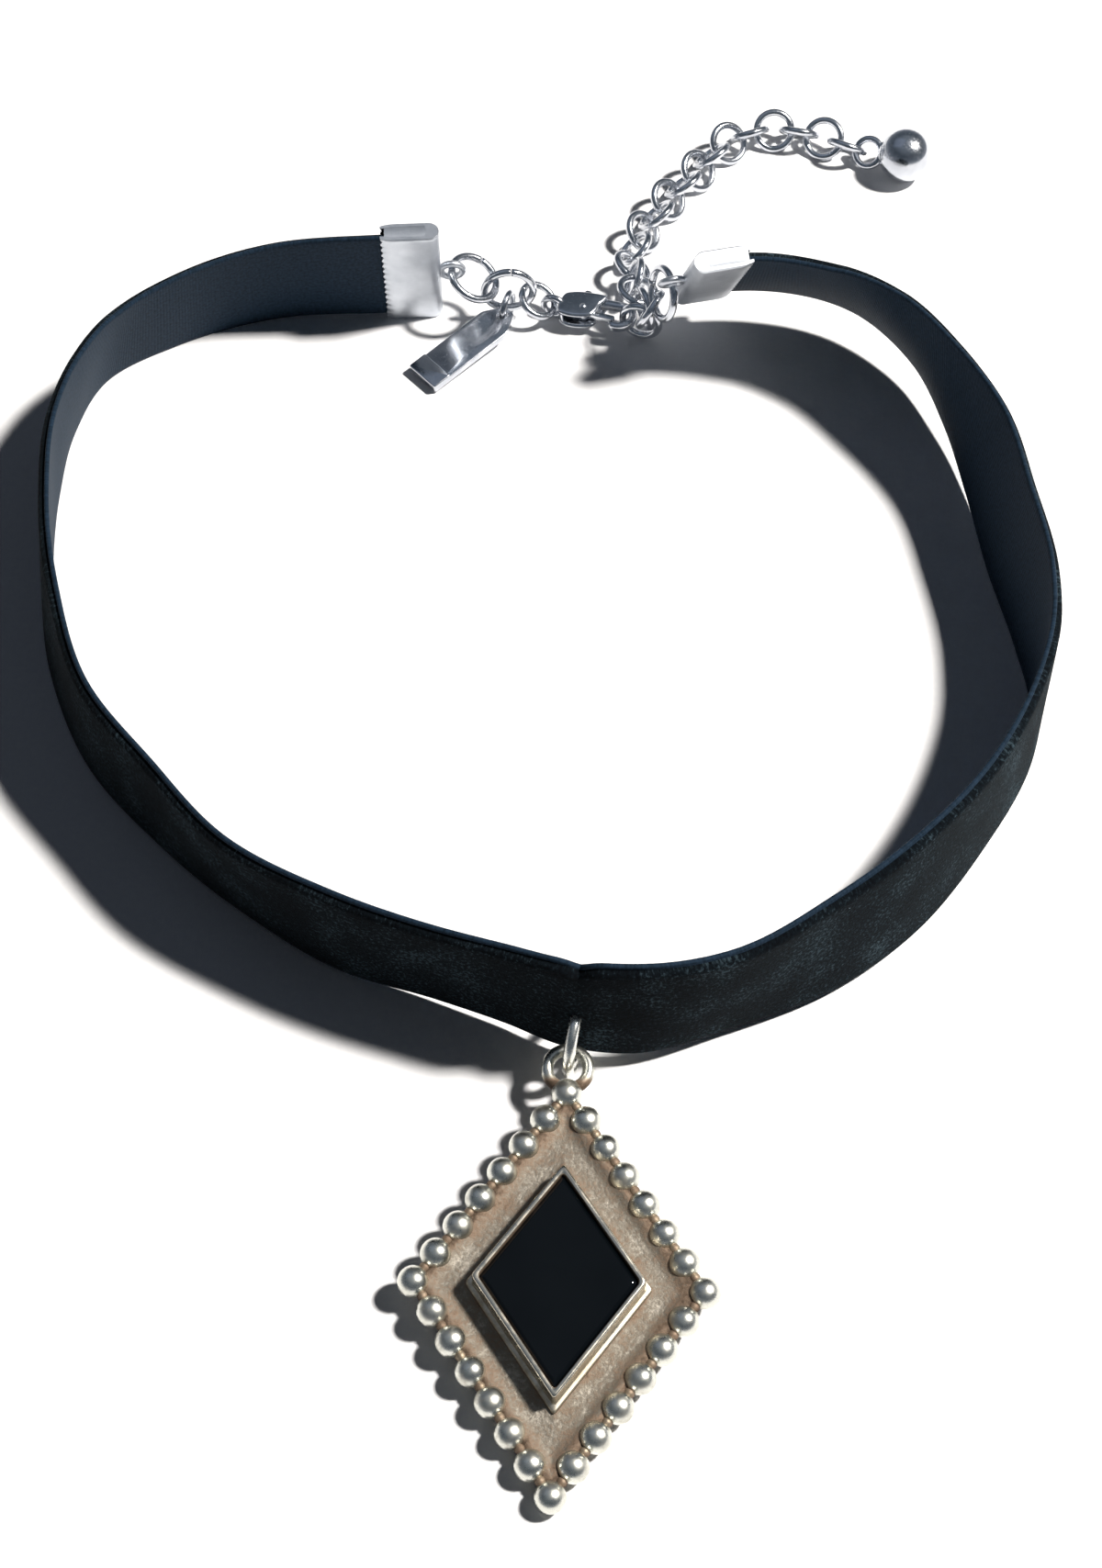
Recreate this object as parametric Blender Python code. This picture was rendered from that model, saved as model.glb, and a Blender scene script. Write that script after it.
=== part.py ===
"""Velvet ribbon choker with an antique silver lozenge pendant, lying on a surface.

The surface is z = 0, the pendant points to -Y and the clasp is at +Y. Sizes are real ones,
in metres. The ribbon stands on its edge and runs round the neck opening.
"""
import math

import bmesh
import bpy
import numpy as np
from mathutils import Matrix, Vector

MM = 0.001
UP = Vector((0.0, 0.0, 1.0))

# Ribbon
RIBBON_WIDTH = 15.9 * MM
RIBBON_THICKNESS = 1.2 * MM
RIBBON_EDGE = 0.25 * MM
RIBBON_STEP = 4.0 * MM
LOOP_REACH = 55.0 * MM
LOOP_CENTRE = Vector((0.0, 22.0 * MM, 0.0))
RIBBON_ROWS = (
    # azimuth in degrees, reach as a share of LOOP_REACH, lean inward in degrees,
    # lift as a share of RIBBON_WIDTH
    (126, 1.07, 13, 0.00),
    (137, 1.15, 16, 0.00),
    (146, 1.20, 19, 0.00),
    (154, 1.17, 14, 0.00),
    (162, 1.12, 9, 0.00),
    (174, 1.06, 8, 0.00),
    (188, 1.02, 9, 0.00),
    (202, 0.98, 5, 0.00),
    (216, 0.93, 2, 0.00),
    (230, 0.905, -4, 0.00),
    (244, 0.91, -1, 0.02),
    (257, 0.915, -3, 0.07),
    (265, 0.945, -1, 0.09),
    (272, 0.995, 3, 0.10),
    (278, 1.015, 4, 0.08),
    (289, 1.00, 0, 0.02),
    (301, 1.01, 7, 0.00),
    (313, 1.01, 8, 0.00),
    (326, 1.00, 4, 0.00),
    (340, 1.01, 4, 0.00),
    (348, 1.00, 1, 0.00),
    (356, 0.965, -5, 0.00),
    (368, 0.935, -8, 0.00),
    (380, 0.956, -6, 0.04),
    (390, 1.00, 6, 0.11),
    (400, 1.048, 19, 0.19),
    (409, 1.054, 29, 0.27),
)
LEFT_LEAN = math.radians(11)
RIGHT_LEAN = math.radians(32)
CREASE_AZIMUTH = 272.6
CREASE_HALF_WIDTH = 1.5 * MM
CREASE_NOTCH = 1.5 * MM
CREASE_DEPTH = 0.5 * MM

# Ribbon clamps
CLAMP_LENGTH = 7.0 * MM
CLAMP_WALL = 0.5 * MM
CLAMP_OVERHANG = 0.35 * MM
CLAMP_GRIP = 5.2 * MM
CLAMP_SLOT_CLEARANCE = 0.2 * MM
CLAMP_BEVEL = 0.25 * MM
CLAMP_EYE_RADIUS = 1.75 * MM
CLAMP_EYE_HOLE = 0.9 * MM
CLAMP_EYE_THICKNESS = 0.8 * MM
CLAMP_EYE_OUT = 0.75 * CLAMP_EYE_RADIUS
LEFT_CLAMP_YAW = math.radians(3)
RIGHT_CLAMP_YAW = math.radians(12)
LEFT_RUN_YAW = math.radians(182)
RIGHT_RUN_YAW = math.radians(-40)
RIGHT_RUN_CLIMB = math.radians(65.2)

# Rings and chain
WIRE_GAP = 0.22 * MM
JUMP_RING_RADIUS = 3.0 * MM
JUMP_RING_WIRE = 1.0 * MM
CLASP_RING_RADIUS = 2.25 * MM
CLASP_RING_WIRE = 0.9 * MM
LINK_RADIUS = 2.325 * MM
LINK_WIRE = 0.95 * MM
LINK_COUNT = 19
FIRST_LINK_ROLL = math.radians(-6)
SLANT_GAP = 0.18 * MM
RING_SIDES = 14
LINK_SIDES = 12
WIRE_SIDES = 6
FLOOR_GAP = 0.02 * MM

# Clasp: a lobster claw lying on the surface with its nose raised
CLASP_PLACE = Vector((0.4 * MM, LOOP_CENTRE.y + 0.865 * LOOP_REACH, 0.0))
CLASP_YAW = math.radians(-19)
CLASP_PITCH = math.radians(6)
CLASP_BODY_THICKNESS = 2.4 * MM
CLASP_HOOK_THICKNESS = 1.2 * MM
CLASP_TAIL = 4.9 * MM
CLASP_EYE_RADIUS = 1.35 * MM
CLASP_EYE_WIRE = 0.9 * MM
CLASP_HALF_WIDTH = 2.3 * MM
CLASP_NOSE_CENTRE = 3.6 * MM
CLASP_NOSE_INNER = 1.2 * MM
CLASP_NOSE_WALL = 1.0 * MM
CLASP_SLOT_BACK = 3.1 * MM
CLASP_SLOT_FRONT = 0.35 * MM
CLASP_SHOULDER = 0.95 * MM
CLASP_OUTLINE = (
    # the claw's back, anticlockwise: along as a share of CLASP_TAIL, aside as a share of
    # CLASP_HALF_WIDTH
    (-0.245, 1.00), (-0.61, 0.86), (-0.815, 0.52), (-0.815, -0.52), (-0.61, -0.86),
    (-0.245, -0.88), (0.07, -0.66), (0.122, -0.30), (0.143, 0.30), (0.265, 0.52),
)
LEVER_PIVOT = (-0.9 * MM, -0.35 * MM)
LEVER_THICKNESS = 0.9 * MM
LEVER_WIDTH = 0.8 * MM
LEVER_REACH = 4.1 * MM
LEVER_BARREL = 0.85 * MM
LEVER_PIN = 0.42 * MM
LEVER_PIN_CLEARANCE = 0.13 * MM
LEVER_SIDE_CLEARANCE = 0.15 * MM
LEVER_TAB = 3.6 * MM
LEVER_TAB_WIDTH = 1.0 * MM
LEVER_DROOP = 0.3 * MM
HELD_WIRE_CLEARANCE = 0.25 * MM

# Bare tag
TAG_LENGTH = 14.4 * MM
TAG_WIDTH = 4.8 * MM
TAG_THICKNESS = 0.9 * MM
TAG_STRIP = 2.6 * MM
TAG_STEP = 0.25 * MM
TAG_HOLE = 0.75 * MM
TAG_RIM = 0.5 * MM
TAG_NECK = 0.35 * TAG_WIDTH
TAG_YAW = math.radians(222)
TAG_LINK_RADIUS = 1.9 * MM
TAG_LINK_WIRE = 0.8 * MM

# Extender
EXTENDER_ROUTE = (
    # plan points of the loose chain, as shares of LOOP_REACH from the loop's centre
    (0.187, 0.990), (0.200, 1.070), (0.235, 1.130), (0.280, 1.210),
    (0.335, 1.280), (0.400, 1.370), (0.480, 1.425), (0.570, 1.430), (0.660, 1.400),
    (0.750, 1.350),
)
LOOSE_LEAN = math.radians(45)
HOOKED_LINKS = (
    # the two links over the clasp: step up, aside and forward from the link before as
    # shares of LINK_RADIUS, then heading, slope and lean in degrees
    (0.66, 0.32, 0.10, 109, 4, -92),
    (-0.03, 1.14, -0.72, 103, -1, 18),
)
BALL_TURN = math.radians(4)
BALL_RADIUS = 3.4 * MM
BALL_EYE_RADIUS = 1.75 * MM
BALL_EYE_WIRE = 0.9 * MM
BALL_EYE_SUNK = 0.15 * MM

# Pendant
PENDANT_HALF_WIDTH = 13.8 * MM
PENDANT_HALF_HEIGHT = 19.5 * MM
PENDANT_YAW = math.radians(-2.4)
BEADS_PER_SIDE = 7
BEAD_RADIUS = 1.52 * MM
GRANULE_RADIUS = 0.55 * MM
PLATE_THICKNESS = 1.2 * MM
PLATE_FLOOR = 0.42 * MM
BEZEL_HALF_WIDTH = 8.3 * MM
BEZEL_HALF_HEIGHT = 11.35 * MM
BEZEL_WALL = 0.55 * MM
BEZEL_HEIGHT = 2.8 * MM
BEZEL_STEP = 0.5 * MM
STONE_CLEARANCE = 0.10 * MM
STONE_BELOW_RIM = 0.25 * MM
STONE_BEVEL = 0.35 * MM
PENDANT_LOOP_RADIUS = 2.05 * MM
PENDANT_LOOP_WIRE = 1.25 * MM
PENDANT_LOOP_OVERLAP = 0.92 * MM
PENDANT_RING_RADIUS = 3.8 * MM
PENDANT_RING_WIRE = 1.2 * MM
PENDANT_RING_CLEARANCE = 0.3 * MM

# Finishes: base colour in sRGB hex, metallic, roughness
FINISHES = {
    "velvet": ("#10171f", 0.0, 0.95),
    "nickel": ("#c9ccd2", 1.0, 0.25),
    "silver": ("#b9b2a4", 1.0, 0.38),
    "onyx": ("#0a0d12", 0.0, 0.06),
}


def clear_scene():
    """Remove the objects that a new Blender file starts with."""
    for thing in list(bpy.data.objects):
        bpy.data.objects.remove(thing, do_unlink=True)


def linear(channel):
    """One sRGB channel from 0 to 1 as a linear value."""
    return channel / 12.92 if channel <= 0.04045 else ((channel + 0.055) / 1.055) ** 2.4


def make_material(name, finish):
    """A Principled material of one of the named finishes."""
    colour, metallic, roughness = FINISHES[finish]
    material = bpy.data.materials.new(name)
    material.use_nodes = True
    shader = material.node_tree.nodes["Principled BSDF"]
    channels = [linear(int(colour[i:i + 2], 16) / 255) for i in (1, 3, 5)]
    shader.inputs["Base Color"].default_value = (*channels, 1.0)
    shader.inputs["Metallic"].default_value = metallic
    shader.inputs["Roughness"].default_value = roughness
    return material


def add_object(name, mesh, matrix=None, finish=None):
    """Link a mesh as an object; a finish makes it a piece of the part."""
    thing = bpy.data.objects.new(name, mesh)
    bpy.context.scene.collection.objects.link(thing)
    if matrix is not None:
        thing.matrix_world = matrix
    if finish:
        mesh.materials.clear()
        mesh.materials.append(make_material(name + "_finish", finish))
    return thing


def mesh_from(name, vertices, faces):
    """A mesh with its faces turned outward."""
    mesh = bpy.data.meshes.new(name)
    mesh.from_pydata([tuple(v) for v in vertices], [], faces)
    shape = bmesh.new()
    shape.from_mesh(mesh)
    bmesh.ops.recalc_face_normals(shape, faces=shape.faces)
    shape.to_mesh(mesh)
    shape.free()
    return mesh


def prism_mesh(name, outline, bottom, top):
    """A flat outline of (x, y) points raised from bottom to top."""
    count = len(outline)
    vertices = [(x, y, bottom) for x, y in outline] + [(x, y, top) for x, y in outline]
    sides = [(i, (i + 1) % count, count + (i + 1) % count, count + i) for i in range(count)]
    caps = [tuple(reversed(range(count))), tuple(range(count, 2 * count))]
    return mesh_from(name, vertices, sides + caps)


def torus_mesh(name, radius, wire, sides, wire_sides=WIRE_SIDES):
    """A ring of round wire about the local Z axis; radius is to the wire's centre."""
    vertices, faces = [], []
    for i in range(sides):
        turn = 2 * math.pi * i / sides
        for j in range(wire_sides):
            roll = 2 * math.pi * (j + 0.5) / wire_sides
            reach = radius + 0.5 * wire * math.cos(roll)
            rise = 0.5 * wire * math.sin(roll)
            vertices.append((reach * math.cos(turn), reach * math.sin(turn), rise))
            across = (j + 1) % wire_sides
            after = ((i + 1) % sides) * wire_sides
            here = i * wire_sides
            faces.append((here + j, after + j, after + across, here + across))
    return mesh_from(name, vertices, faces)


def ball_mesh(name, radius, sides, rings, centre=(0.0, 0.0, 0.0)):
    """A round bead."""
    mesh = bpy.data.meshes.new(name)
    shape = bmesh.new()
    bmesh.ops.create_uvsphere(shape, u_segments=sides, v_segments=rings, radius=radius,
                              matrix=Matrix.Translation(centre))
    shape.to_mesh(mesh)
    shape.free()
    return mesh


def cylinder_mesh(name, radius, length, sides, centre=(0.0, 0.0, 0.0)):
    """A cylinder along the local Z axis."""
    mesh = bpy.data.meshes.new(name)
    shape = bmesh.new()
    bmesh.ops.create_cone(shape, cap_ends=True, segments=sides, radius1=radius, radius2=radius,
                          depth=length, matrix=Matrix.Translation(centre))
    shape.to_mesh(mesh)
    shape.free()
    return mesh


def combine(thing, operation, tools):
    """Apply Boolean steps with the given tool objects and remove the tools."""
    for tool in tools:
        modifier = thing.modifiers.new(operation.lower(), "BOOLEAN")
        modifier.operation = operation
        modifier.object = tool
    settle(thing)
    for tool in tools:
        bpy.data.objects.remove(tool, do_unlink=True)


def settle(thing):
    """Replace an object's mesh with what its modifiers make of it."""
    bpy.context.view_layer.update()
    finished = thing.evaluated_get(bpy.context.evaluated_depsgraph_get())
    mesh = bpy.data.meshes.new_from_object(finished)
    materials = [slot.material for slot in thing.material_slots]
    thing.modifiers.clear()
    thing.data = mesh
    mesh.materials.clear()
    for material in materials:
        mesh.materials.append(material)


def frame_matrix(origin, x_axis, z_axis):
    """A place whose local X is x_axis and whose local Z is z_axis made square to it."""
    x_axis = x_axis.normalized()
    z_axis = (z_axis - z_axis.dot(x_axis) * x_axis).normalized()
    y_axis = z_axis.cross(x_axis)
    turn = Matrix((x_axis, y_axis, z_axis)).transposed()
    return Matrix.Translation(origin) @ turn.to_4x4()


def plan_direction(yaw):
    """The level direction at an angle from +X."""
    return Vector((math.cos(yaw), math.sin(yaw), 0.0))


# Places of the clasp and the clamps' eyes, worked out from the clasp outward
def clasp_frame():
    """The clasp's middle plane, local X from tail to nose, with its tail eye on the surface."""
    heading = plan_direction(CLASP_YAW) * math.cos(CLASP_PITCH) + UP * math.sin(CLASP_PITCH)
    rise = CLASP_EYE_RADIUS + 0.5 * CLASP_EYE_WIRE
    frame = frame_matrix(CLASP_PLACE + UP * (rise + FLOOR_GAP), heading, UP)
    return frame @ Matrix.Translation((CLASP_TAIL, 0.0, 0.0))


def held_link_centre(clasp):
    """Centre of the link in the claw: its wire lies just inside the nose."""
    wire = CLASP_NOSE_CENTRE + CLASP_NOSE_INNER - HELD_WIRE_CLEARANCE - 0.5 * LINK_WIRE
    return clasp @ Vector((wire + LINK_RADIUS, 0.0, 0.0))


def reach_between(first, second, first_wire, second_wire):
    """Distance between the centres of two rings pulled tight, less the wire gap."""
    return first + second - 0.5 * (first_wire + second_wire) - WIRE_GAP


def left_reaches():
    """Steps from the tail eye to the left clamp's eye, centre to centre."""
    return (
        CLASP_RING_RADIUS,
        reach_between(CLASP_RING_RADIUS, JUMP_RING_RADIUS, CLASP_RING_WIRE, JUMP_RING_WIRE),
        reach_between(JUMP_RING_RADIUS, JUMP_RING_RADIUS, JUMP_RING_WIRE, JUMP_RING_WIRE),
        JUMP_RING_RADIUS,
    )


def right_reaches():
    """Steps from the held link to the right clamp's eye, centre to centre."""
    return (
        reach_between(LINK_RADIUS, LINK_RADIUS, LINK_WIRE, LINK_WIRE) - SLANT_GAP,
        reach_between(LINK_RADIUS, JUMP_RING_RADIUS, LINK_WIRE, JUMP_RING_WIRE),
        JUMP_RING_RADIUS,
    )


def clamp_half_thickness():
    """Half the thickness of a clamp over the ribbon."""
    return 0.5 * RIBBON_THICKNESS + CLAMP_SLOT_CLEARANCE + CLAMP_WALL


def left_lift():
    """Height of the ribbon's foot at the left clamp, whose lower end rests on the surface."""
    wider = clamp_half_thickness() - 0.5 * RIBBON_THICKNESS
    return CLAMP_OVERHANG * math.cos(LEFT_LEAN) + wider * math.sin(LEFT_LEAN)


def eye_height(lean, lift):
    """Height of a clamp's eye, at the middle of the ribbon's width."""
    return lift + 0.5 * RIBBON_THICKNESS * abs(math.sin(lean)) + 0.5 * RIBBON_WIDTH * math.cos(lean)


def eye_place(start, reaches, yaw, height):
    """Where a straight run of rings from start ends, at a given height."""
    total = sum(reaches)
    drop = height - start.z
    level = math.sqrt(total * total - drop * drop)
    return Vector((start.x, start.y, height)) + plan_direction(yaw) * level


class Clamp:
    """A ribbon clamp's place: its eye, the way the ribbon leaves it, and its lean."""

    def __init__(self, eye, away, lean, lift):
        self.eye = eye
        self.away = away
        self.lean = lean
        outward = Vector((-away.y, away.x, 0.0))
        self.outward = outward if outward.y > 0 else -outward
        self.up = UP * math.cos(lean) - self.outward * math.sin(lean)
        self.normal = self.outward * math.cos(lean) + UP * math.sin(lean)
        mouth = eye + away * (CLAMP_EYE_OUT + CLAMP_LENGTH)
        self.foot = mouth - self.up * 0.5 * RIBBON_WIDTH
        self.foot.z = lift


def clamps():
    """Both clamps, placed by the rings that join them to the clasp."""
    clasp = clasp_frame()
    tail = clasp @ Vector((-CLASP_TAIL, 0.0, 0.0))
    held = held_link_centre(clasp)
    left_eye = eye_place(tail, left_reaches(), LEFT_RUN_YAW, eye_height(LEFT_LEAN, left_lift()))
    climbed = held.z + sum(right_reaches()) * math.sin(RIGHT_RUN_CLIMB)
    right_eye = eye_place(held, right_reaches(), RIGHT_RUN_YAW, climbed)
    left = Clamp(left_eye, -plan_direction(LEFT_CLAMP_YAW), LEFT_LEAN, left_lift())
    right_lift = climbed - eye_height(RIGHT_LEAN, 0.0)
    right = Clamp(right_eye, plan_direction(RIGHT_CLAMP_YAW), RIGHT_LEAN, right_lift)
    return left, right


# Ribbon
def spline(keys, values, wanted):
    """Cubic curve through rows of values, with slopes from the rows beside each one."""
    slopes = np.gradient(values, keys, axis=0)
    index = np.clip(np.searchsorted(keys, wanted) - 1, 0, len(keys) - 2)
    span = (keys[index + 1] - keys[index])[:, None]
    t = ((wanted - keys[index]) / (keys[index + 1] - keys[index]))[:, None]
    start, end = values[index], values[index + 1]
    leave, arrive = slopes[index] * span, slopes[index + 1] * span
    return ((2 * t**3 - 3 * t**2 + 1) * start + (t**3 - 2 * t**2 + t) * leave
            + (3 * t**2 - 2 * t**3) * end + (t**3 - t**2) * arrive)


class RibbonPath:
    """The ribbon's foot line with its lean and lift, from the left clamp to the right one."""

    def __init__(self, left, right):
        rows = [(math.radians(a), r * LOOP_REACH, math.radians(n), h * RIBBON_WIDTH)
                for a, r, n, h in RIBBON_ROWS]
        line = [(LOOP_CENTRE.x + r * math.cos(a), LOOP_CENTRE.y + r * math.sin(a), lean, lift)
                for a, r, lean, lift in rows]
        line = [self.end_row(left, 0.0), self.end_row(left, 1.0)] + line
        line = line + [self.end_row(right, 1.0), self.end_row(right, 0.0)]
        self.rows = np.array(line)
        steps = np.hypot(*np.diff(self.rows[:, :2], axis=0).T)
        self.keys = np.concatenate([[0.0], np.cumsum(steps)])
        self.length = self.keys[-1]

    @staticmethod
    def end_row(clamp, out):
        """A row inside a clamp (out = 0, the ribbon's end) or at its mouth (out = 1)."""
        place = clamp.foot - clamp.away * CLAMP_GRIP * (1.0 - out)
        return (place.x, place.y, clamp.lean, clamp.foot.z)

    def sample(self, distances):
        """Rows of x, y, lean and lift at distances along the ribbon."""
        return spline(self.keys, self.rows, np.asarray(distances, dtype=float))

    def frame(self, distance):
        """Foot point, tangent, outward normal and up direction at one distance."""
        near = self.sample([distance - 0.3 * MM, distance, distance + 0.3 * MM])
        tangent = Vector((near[2, 0] - near[0, 0], near[2, 1] - near[0, 1], 0.0)).normalized()
        outward = Vector((tangent.y, -tangent.x, 0.0))
        lean, lift = near[1, 2], near[1, 3]
        up = UP * math.cos(lean) - outward * math.sin(lean)
        normal = outward * math.cos(lean) + UP * math.sin(lean)
        rise = lift + 0.5 * RIBBON_THICKNESS * abs(math.sin(lean)) + FLOOR_GAP
        foot = Vector((near[1, 0], near[1, 1], rise))
        return foot, tangent, normal, up

    def distance_at(self, azimuth):
        """Distance along the ribbon at an azimuth about the loop's centre."""
        distances = np.linspace(0.0, self.length, 1200)
        rows = self.sample(distances)
        angles = np.degrees(np.arctan2(rows[:, 1] - LOOP_CENTRE.y, rows[:, 0] - LOOP_CENTRE.x)) % 360
        inner = (angles > azimuth - 5) & (angles < azimuth + 5)
        return float(np.interp(azimuth, angles[inner], distances[inner]))


def ribbon_stations(path, crease):
    """Distances of the ribbon's sections: even ones, and close ones at the crease."""
    count = round(path.length / RIBBON_STEP)
    even = [path.length * i / count for i in range(count + 1)]
    reach = 2.2 * CREASE_HALF_WIDTH
    close = [crease + reach * k / 4 for k in range(-4, 5)]
    return sorted([s for s in even if abs(s - crease) > reach + 1.0 * MM] + close)


def ribbon_section(path, distance, crease):
    """One closed section of the ribbon, eight points from the foot up and round."""
    foot, _, normal, up = path.frame(distance)
    dip = math.exp(-((distance - crease) / CREASE_HALF_WIDTH) ** 2)
    half, edge = 0.5 * RIBBON_THICKNESS, RIBBON_EDGE
    top = RIBBON_WIDTH - CREASE_NOTCH * dip
    corners = ((half - edge, 0.0), (half, edge), (half, top - edge), (half - edge, top))
    outline = corners + tuple((-out, rise) for out, rise in reversed(corners))
    sink = -normal * CREASE_DEPTH * dip
    return [foot + sink * (rise / RIBBON_WIDTH) + normal * out + up * rise
            for out, rise in outline]


def build_ribbon(path, crease, ring_place):
    """The velvet ribbon, with a hole for the pendant's ring."""
    vertices, faces = [], []
    stations = ribbon_stations(path, crease)
    for distance in stations:
        vertices += ribbon_section(path, distance, crease)
    corners = len(vertices) // len(stations)
    for k in range(len(stations) - 1):
        for j in range(corners):
            here, after = k * corners, (k + 1) * corners
            across = (j + 1) % corners
            faces.append((here + j, after + j, after + across, here + across))
    faces.append(tuple(range(corners)))
    faces.append(tuple(reversed(range(len(vertices) - corners, len(vertices)))))
    ribbon = add_object("velvet_ribbon", mesh_from("velvet_ribbon", vertices, faces), finish="velvet")
    hole = ring_place @ Vector((0.0, PENDANT_RING_RADIUS, 0.0))
    _, _, normal, _ = path.frame(crease)
    radius = 0.5 * PENDANT_RING_WIRE + PENDANT_RING_CLEARANCE
    drill = add_object("drill", cylinder_mesh("drill", radius, 6 * RIBBON_THICKNESS, 12),
                       frame_matrix(hole, UP.cross(normal), normal))
    combine(ribbon, "DIFFERENCE", [drill])
    return ribbon


# Clamps
def build_clamp(name, clamp):
    """A folded clamp: a U of sheet metal closed at the eye's side, with an eye."""
    slot = 0.5 * RIBBON_THICKNESS + CLAMP_SLOT_CLEARANCE
    outer = clamp_half_thickness()
    back = CLAMP_EYE_OUT
    grip = back + CLAMP_LENGTH - CLAMP_GRIP - CLAMP_SLOT_CLEARANCE
    mouth = back + CLAMP_LENGTH
    lip = CLAMP_BEVEL
    profile = [(mouth, outer - lip), (mouth, slot), (grip, slot), (grip, -slot), (mouth, -slot),
               (mouth, lip - outer), (mouth - lip, -outer), (back + 2 * lip, -outer),
               (back, 2 * lip - outer), (back, outer - 2 * lip), (back + 2 * lip, outer),
               (mouth - lip, outer)]
    half = 0.5 * RIBBON_WIDTH + CLAMP_OVERHANG
    place = frame_matrix(clamp.eye, clamp.away, clamp.up)
    body = add_object(name, prism_mesh(name, profile, -half, half), place, finish="nickel")
    ring = ring_outline(CLAMP_EYE_RADIUS, 14)
    thick = 0.5 * CLAMP_EYE_THICKNESS
    eye = add_object("eye", prism_mesh("eye", ring, -thick, thick),
                     place @ Matrix.Rotation(math.pi / 2, 4, "X"))
    combine(body, "UNION", [eye])
    drill = add_object("drill", cylinder_mesh("drill", CLAMP_EYE_HOLE, 4 * outer, 12),
                       place @ Matrix.Rotation(math.pi / 2, 4, "X"))
    combine(body, "DIFFERENCE", [drill])
    return body


def ring_outline(radius, sides, start=0.0, sweep=2 * math.pi, centre=(0.0, 0.0), closed=True):
    """Points of a circle or an arc."""
    steps = sides if closed else sides - 1
    angles = [start + sweep * i / steps for i in range(sides)]
    return [(centre[0] + radius * math.cos(a), centre[1] + radius * math.sin(a)) for a in angles]


# Rings and links
def build_ring(name, centre, along, axis, radius, wire, sides, finish="nickel"):
    """One ring: local X along the chain, local Z its axis."""
    return add_object(name, torus_mesh(name, radius, wire, sides),
                      frame_matrix(centre, along, axis), finish=finish)


def build_left_run(clasp, left):
    """Clasp ring, tag ring and left jump ring between the clasp's tail and the left clamp."""
    tail = clasp @ Vector((-CLASP_TAIL, 0.0, 0.0))
    along = (left.eye - tail).normalized()
    side = clasp.to_3x3() @ Vector((0.0, 1.0, 0.0))
    steps = left_reaches()
    first = tail + along * steps[0]
    second = first + along * steps[1]
    third = second + along * steps[2]
    build_ring("clasp_ring", first, along, side.cross(along),
               CLASP_RING_RADIUS, CLASP_RING_WIRE, RING_SIDES)
    build_ring("tag_ring", second, along, UP.cross(along),
               JUMP_RING_RADIUS, JUMP_RING_WIRE, RING_SIDES)
    build_ring("left_jump_ring", third, along, left.normal.cross(along),
               JUMP_RING_RADIUS, JUMP_RING_WIRE, RING_SIDES)
    return second


def build_right_run(clasp, right):
    """The held link, the first link and the right jump ring."""
    held = held_link_centre(clasp)
    along = (right.eye - held).normalized()
    steps = right_reaches()
    heading = clasp.to_3x3() @ Vector((1.0, 0.0, 0.0))
    side = clasp.to_3x3() @ Vector((0.0, 1.0, 0.0))
    first = held + along * steps[0]
    second = first + along * steps[1]
    across = right.normal.cross(along)
    build_ring("extender_link_02", held, heading, side, LINK_RADIUS, LINK_WIRE, LINK_SIDES)
    turned = Matrix.Rotation(FIRST_LINK_ROLL, 3, along) @ side.cross(along)
    build_ring("extender_link_01", first, along, turned, LINK_RADIUS, LINK_WIRE, LINK_SIDES)
    build_ring("right_jump_ring", second, along, across,
               JUMP_RING_RADIUS, JUMP_RING_WIRE, RING_SIDES)
    return held


def loose_lean(number):
    """How far a loose link leans from lying flat; the first ones still turn from the clasp."""
    settled = LOOSE_LEAN if number % 2 else -LOOSE_LEAN
    return settled - (math.pi / 2 - LOOSE_LEAN) * max(0.0, 1.0 - number / 4)


def loose_rest(lean):
    """Height of a link's centre when it lies on the surface at a lean."""
    return 0.5 * LINK_WIRE + LINK_RADIUS * abs(math.sin(lean)) + FLOOR_GAP


def hooked_links(held):
    """Centre, direction and lean of the two links that climb over the clasp."""
    heading = plan_direction(CLASP_YAW)
    side = UP.cross(heading)
    links, centre = [], held
    for rise, aside, forward, yaw, slope, lean in HOOKED_LINKS:
        centre = centre + (UP * rise + side * aside + heading * forward) * LINK_RADIUS
        slope = math.radians(slope)
        along = plan_direction(math.radians(yaw)) * math.cos(slope) + UP * math.sin(slope)
        links.append((centre, along, math.radians(lean)))
    return links


def loose_links(held):
    """Centre, direction and lean of each loose link, over the clasp and along the surface."""
    links = hooked_links(held)
    line = [tuple(centre) for centre, _, _ in links]
    for x, y in EXTENDER_ROUTE:
        line.append(tuple(LOOP_CENTRE + Vector((x * LOOP_REACH, y * LOOP_REACH, loose_rest(LOOSE_LEAN)))))
    pitch = reach_between(LINK_RADIUS, LINK_RADIUS, LINK_WIRE, LINK_WIRE) - SLANT_GAP
    line = np.array(line)
    onward = (line[-1] - line[-2]) / np.linalg.norm(line[-1] - line[-2])
    line = np.concatenate([line, [line[-1] + onward * pitch * LINK_COUNT]])
    keys = np.concatenate([[0.0], np.cumsum(np.linalg.norm(np.diff(line, axis=0), axis=1))])
    places = [links[0][0], links[1][0]]
    for point in spline(keys, line, np.linspace(keys[1], keys[-1], 4000)):
        place = Vector(point)
        place.z = max(place.z, loose_rest(loose_lean(len(places))))
        if (place - places[-1]).length >= pitch:
            places.append(place)
        if len(places) == LINK_COUNT - 2:
            break
    for number in range(2, len(places)):
        after = places[min(len(places) - 1, number + 1)]
        links.append((places[number], (after - places[number - 1]).normalized(), loose_lean(number)))
    return links


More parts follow.
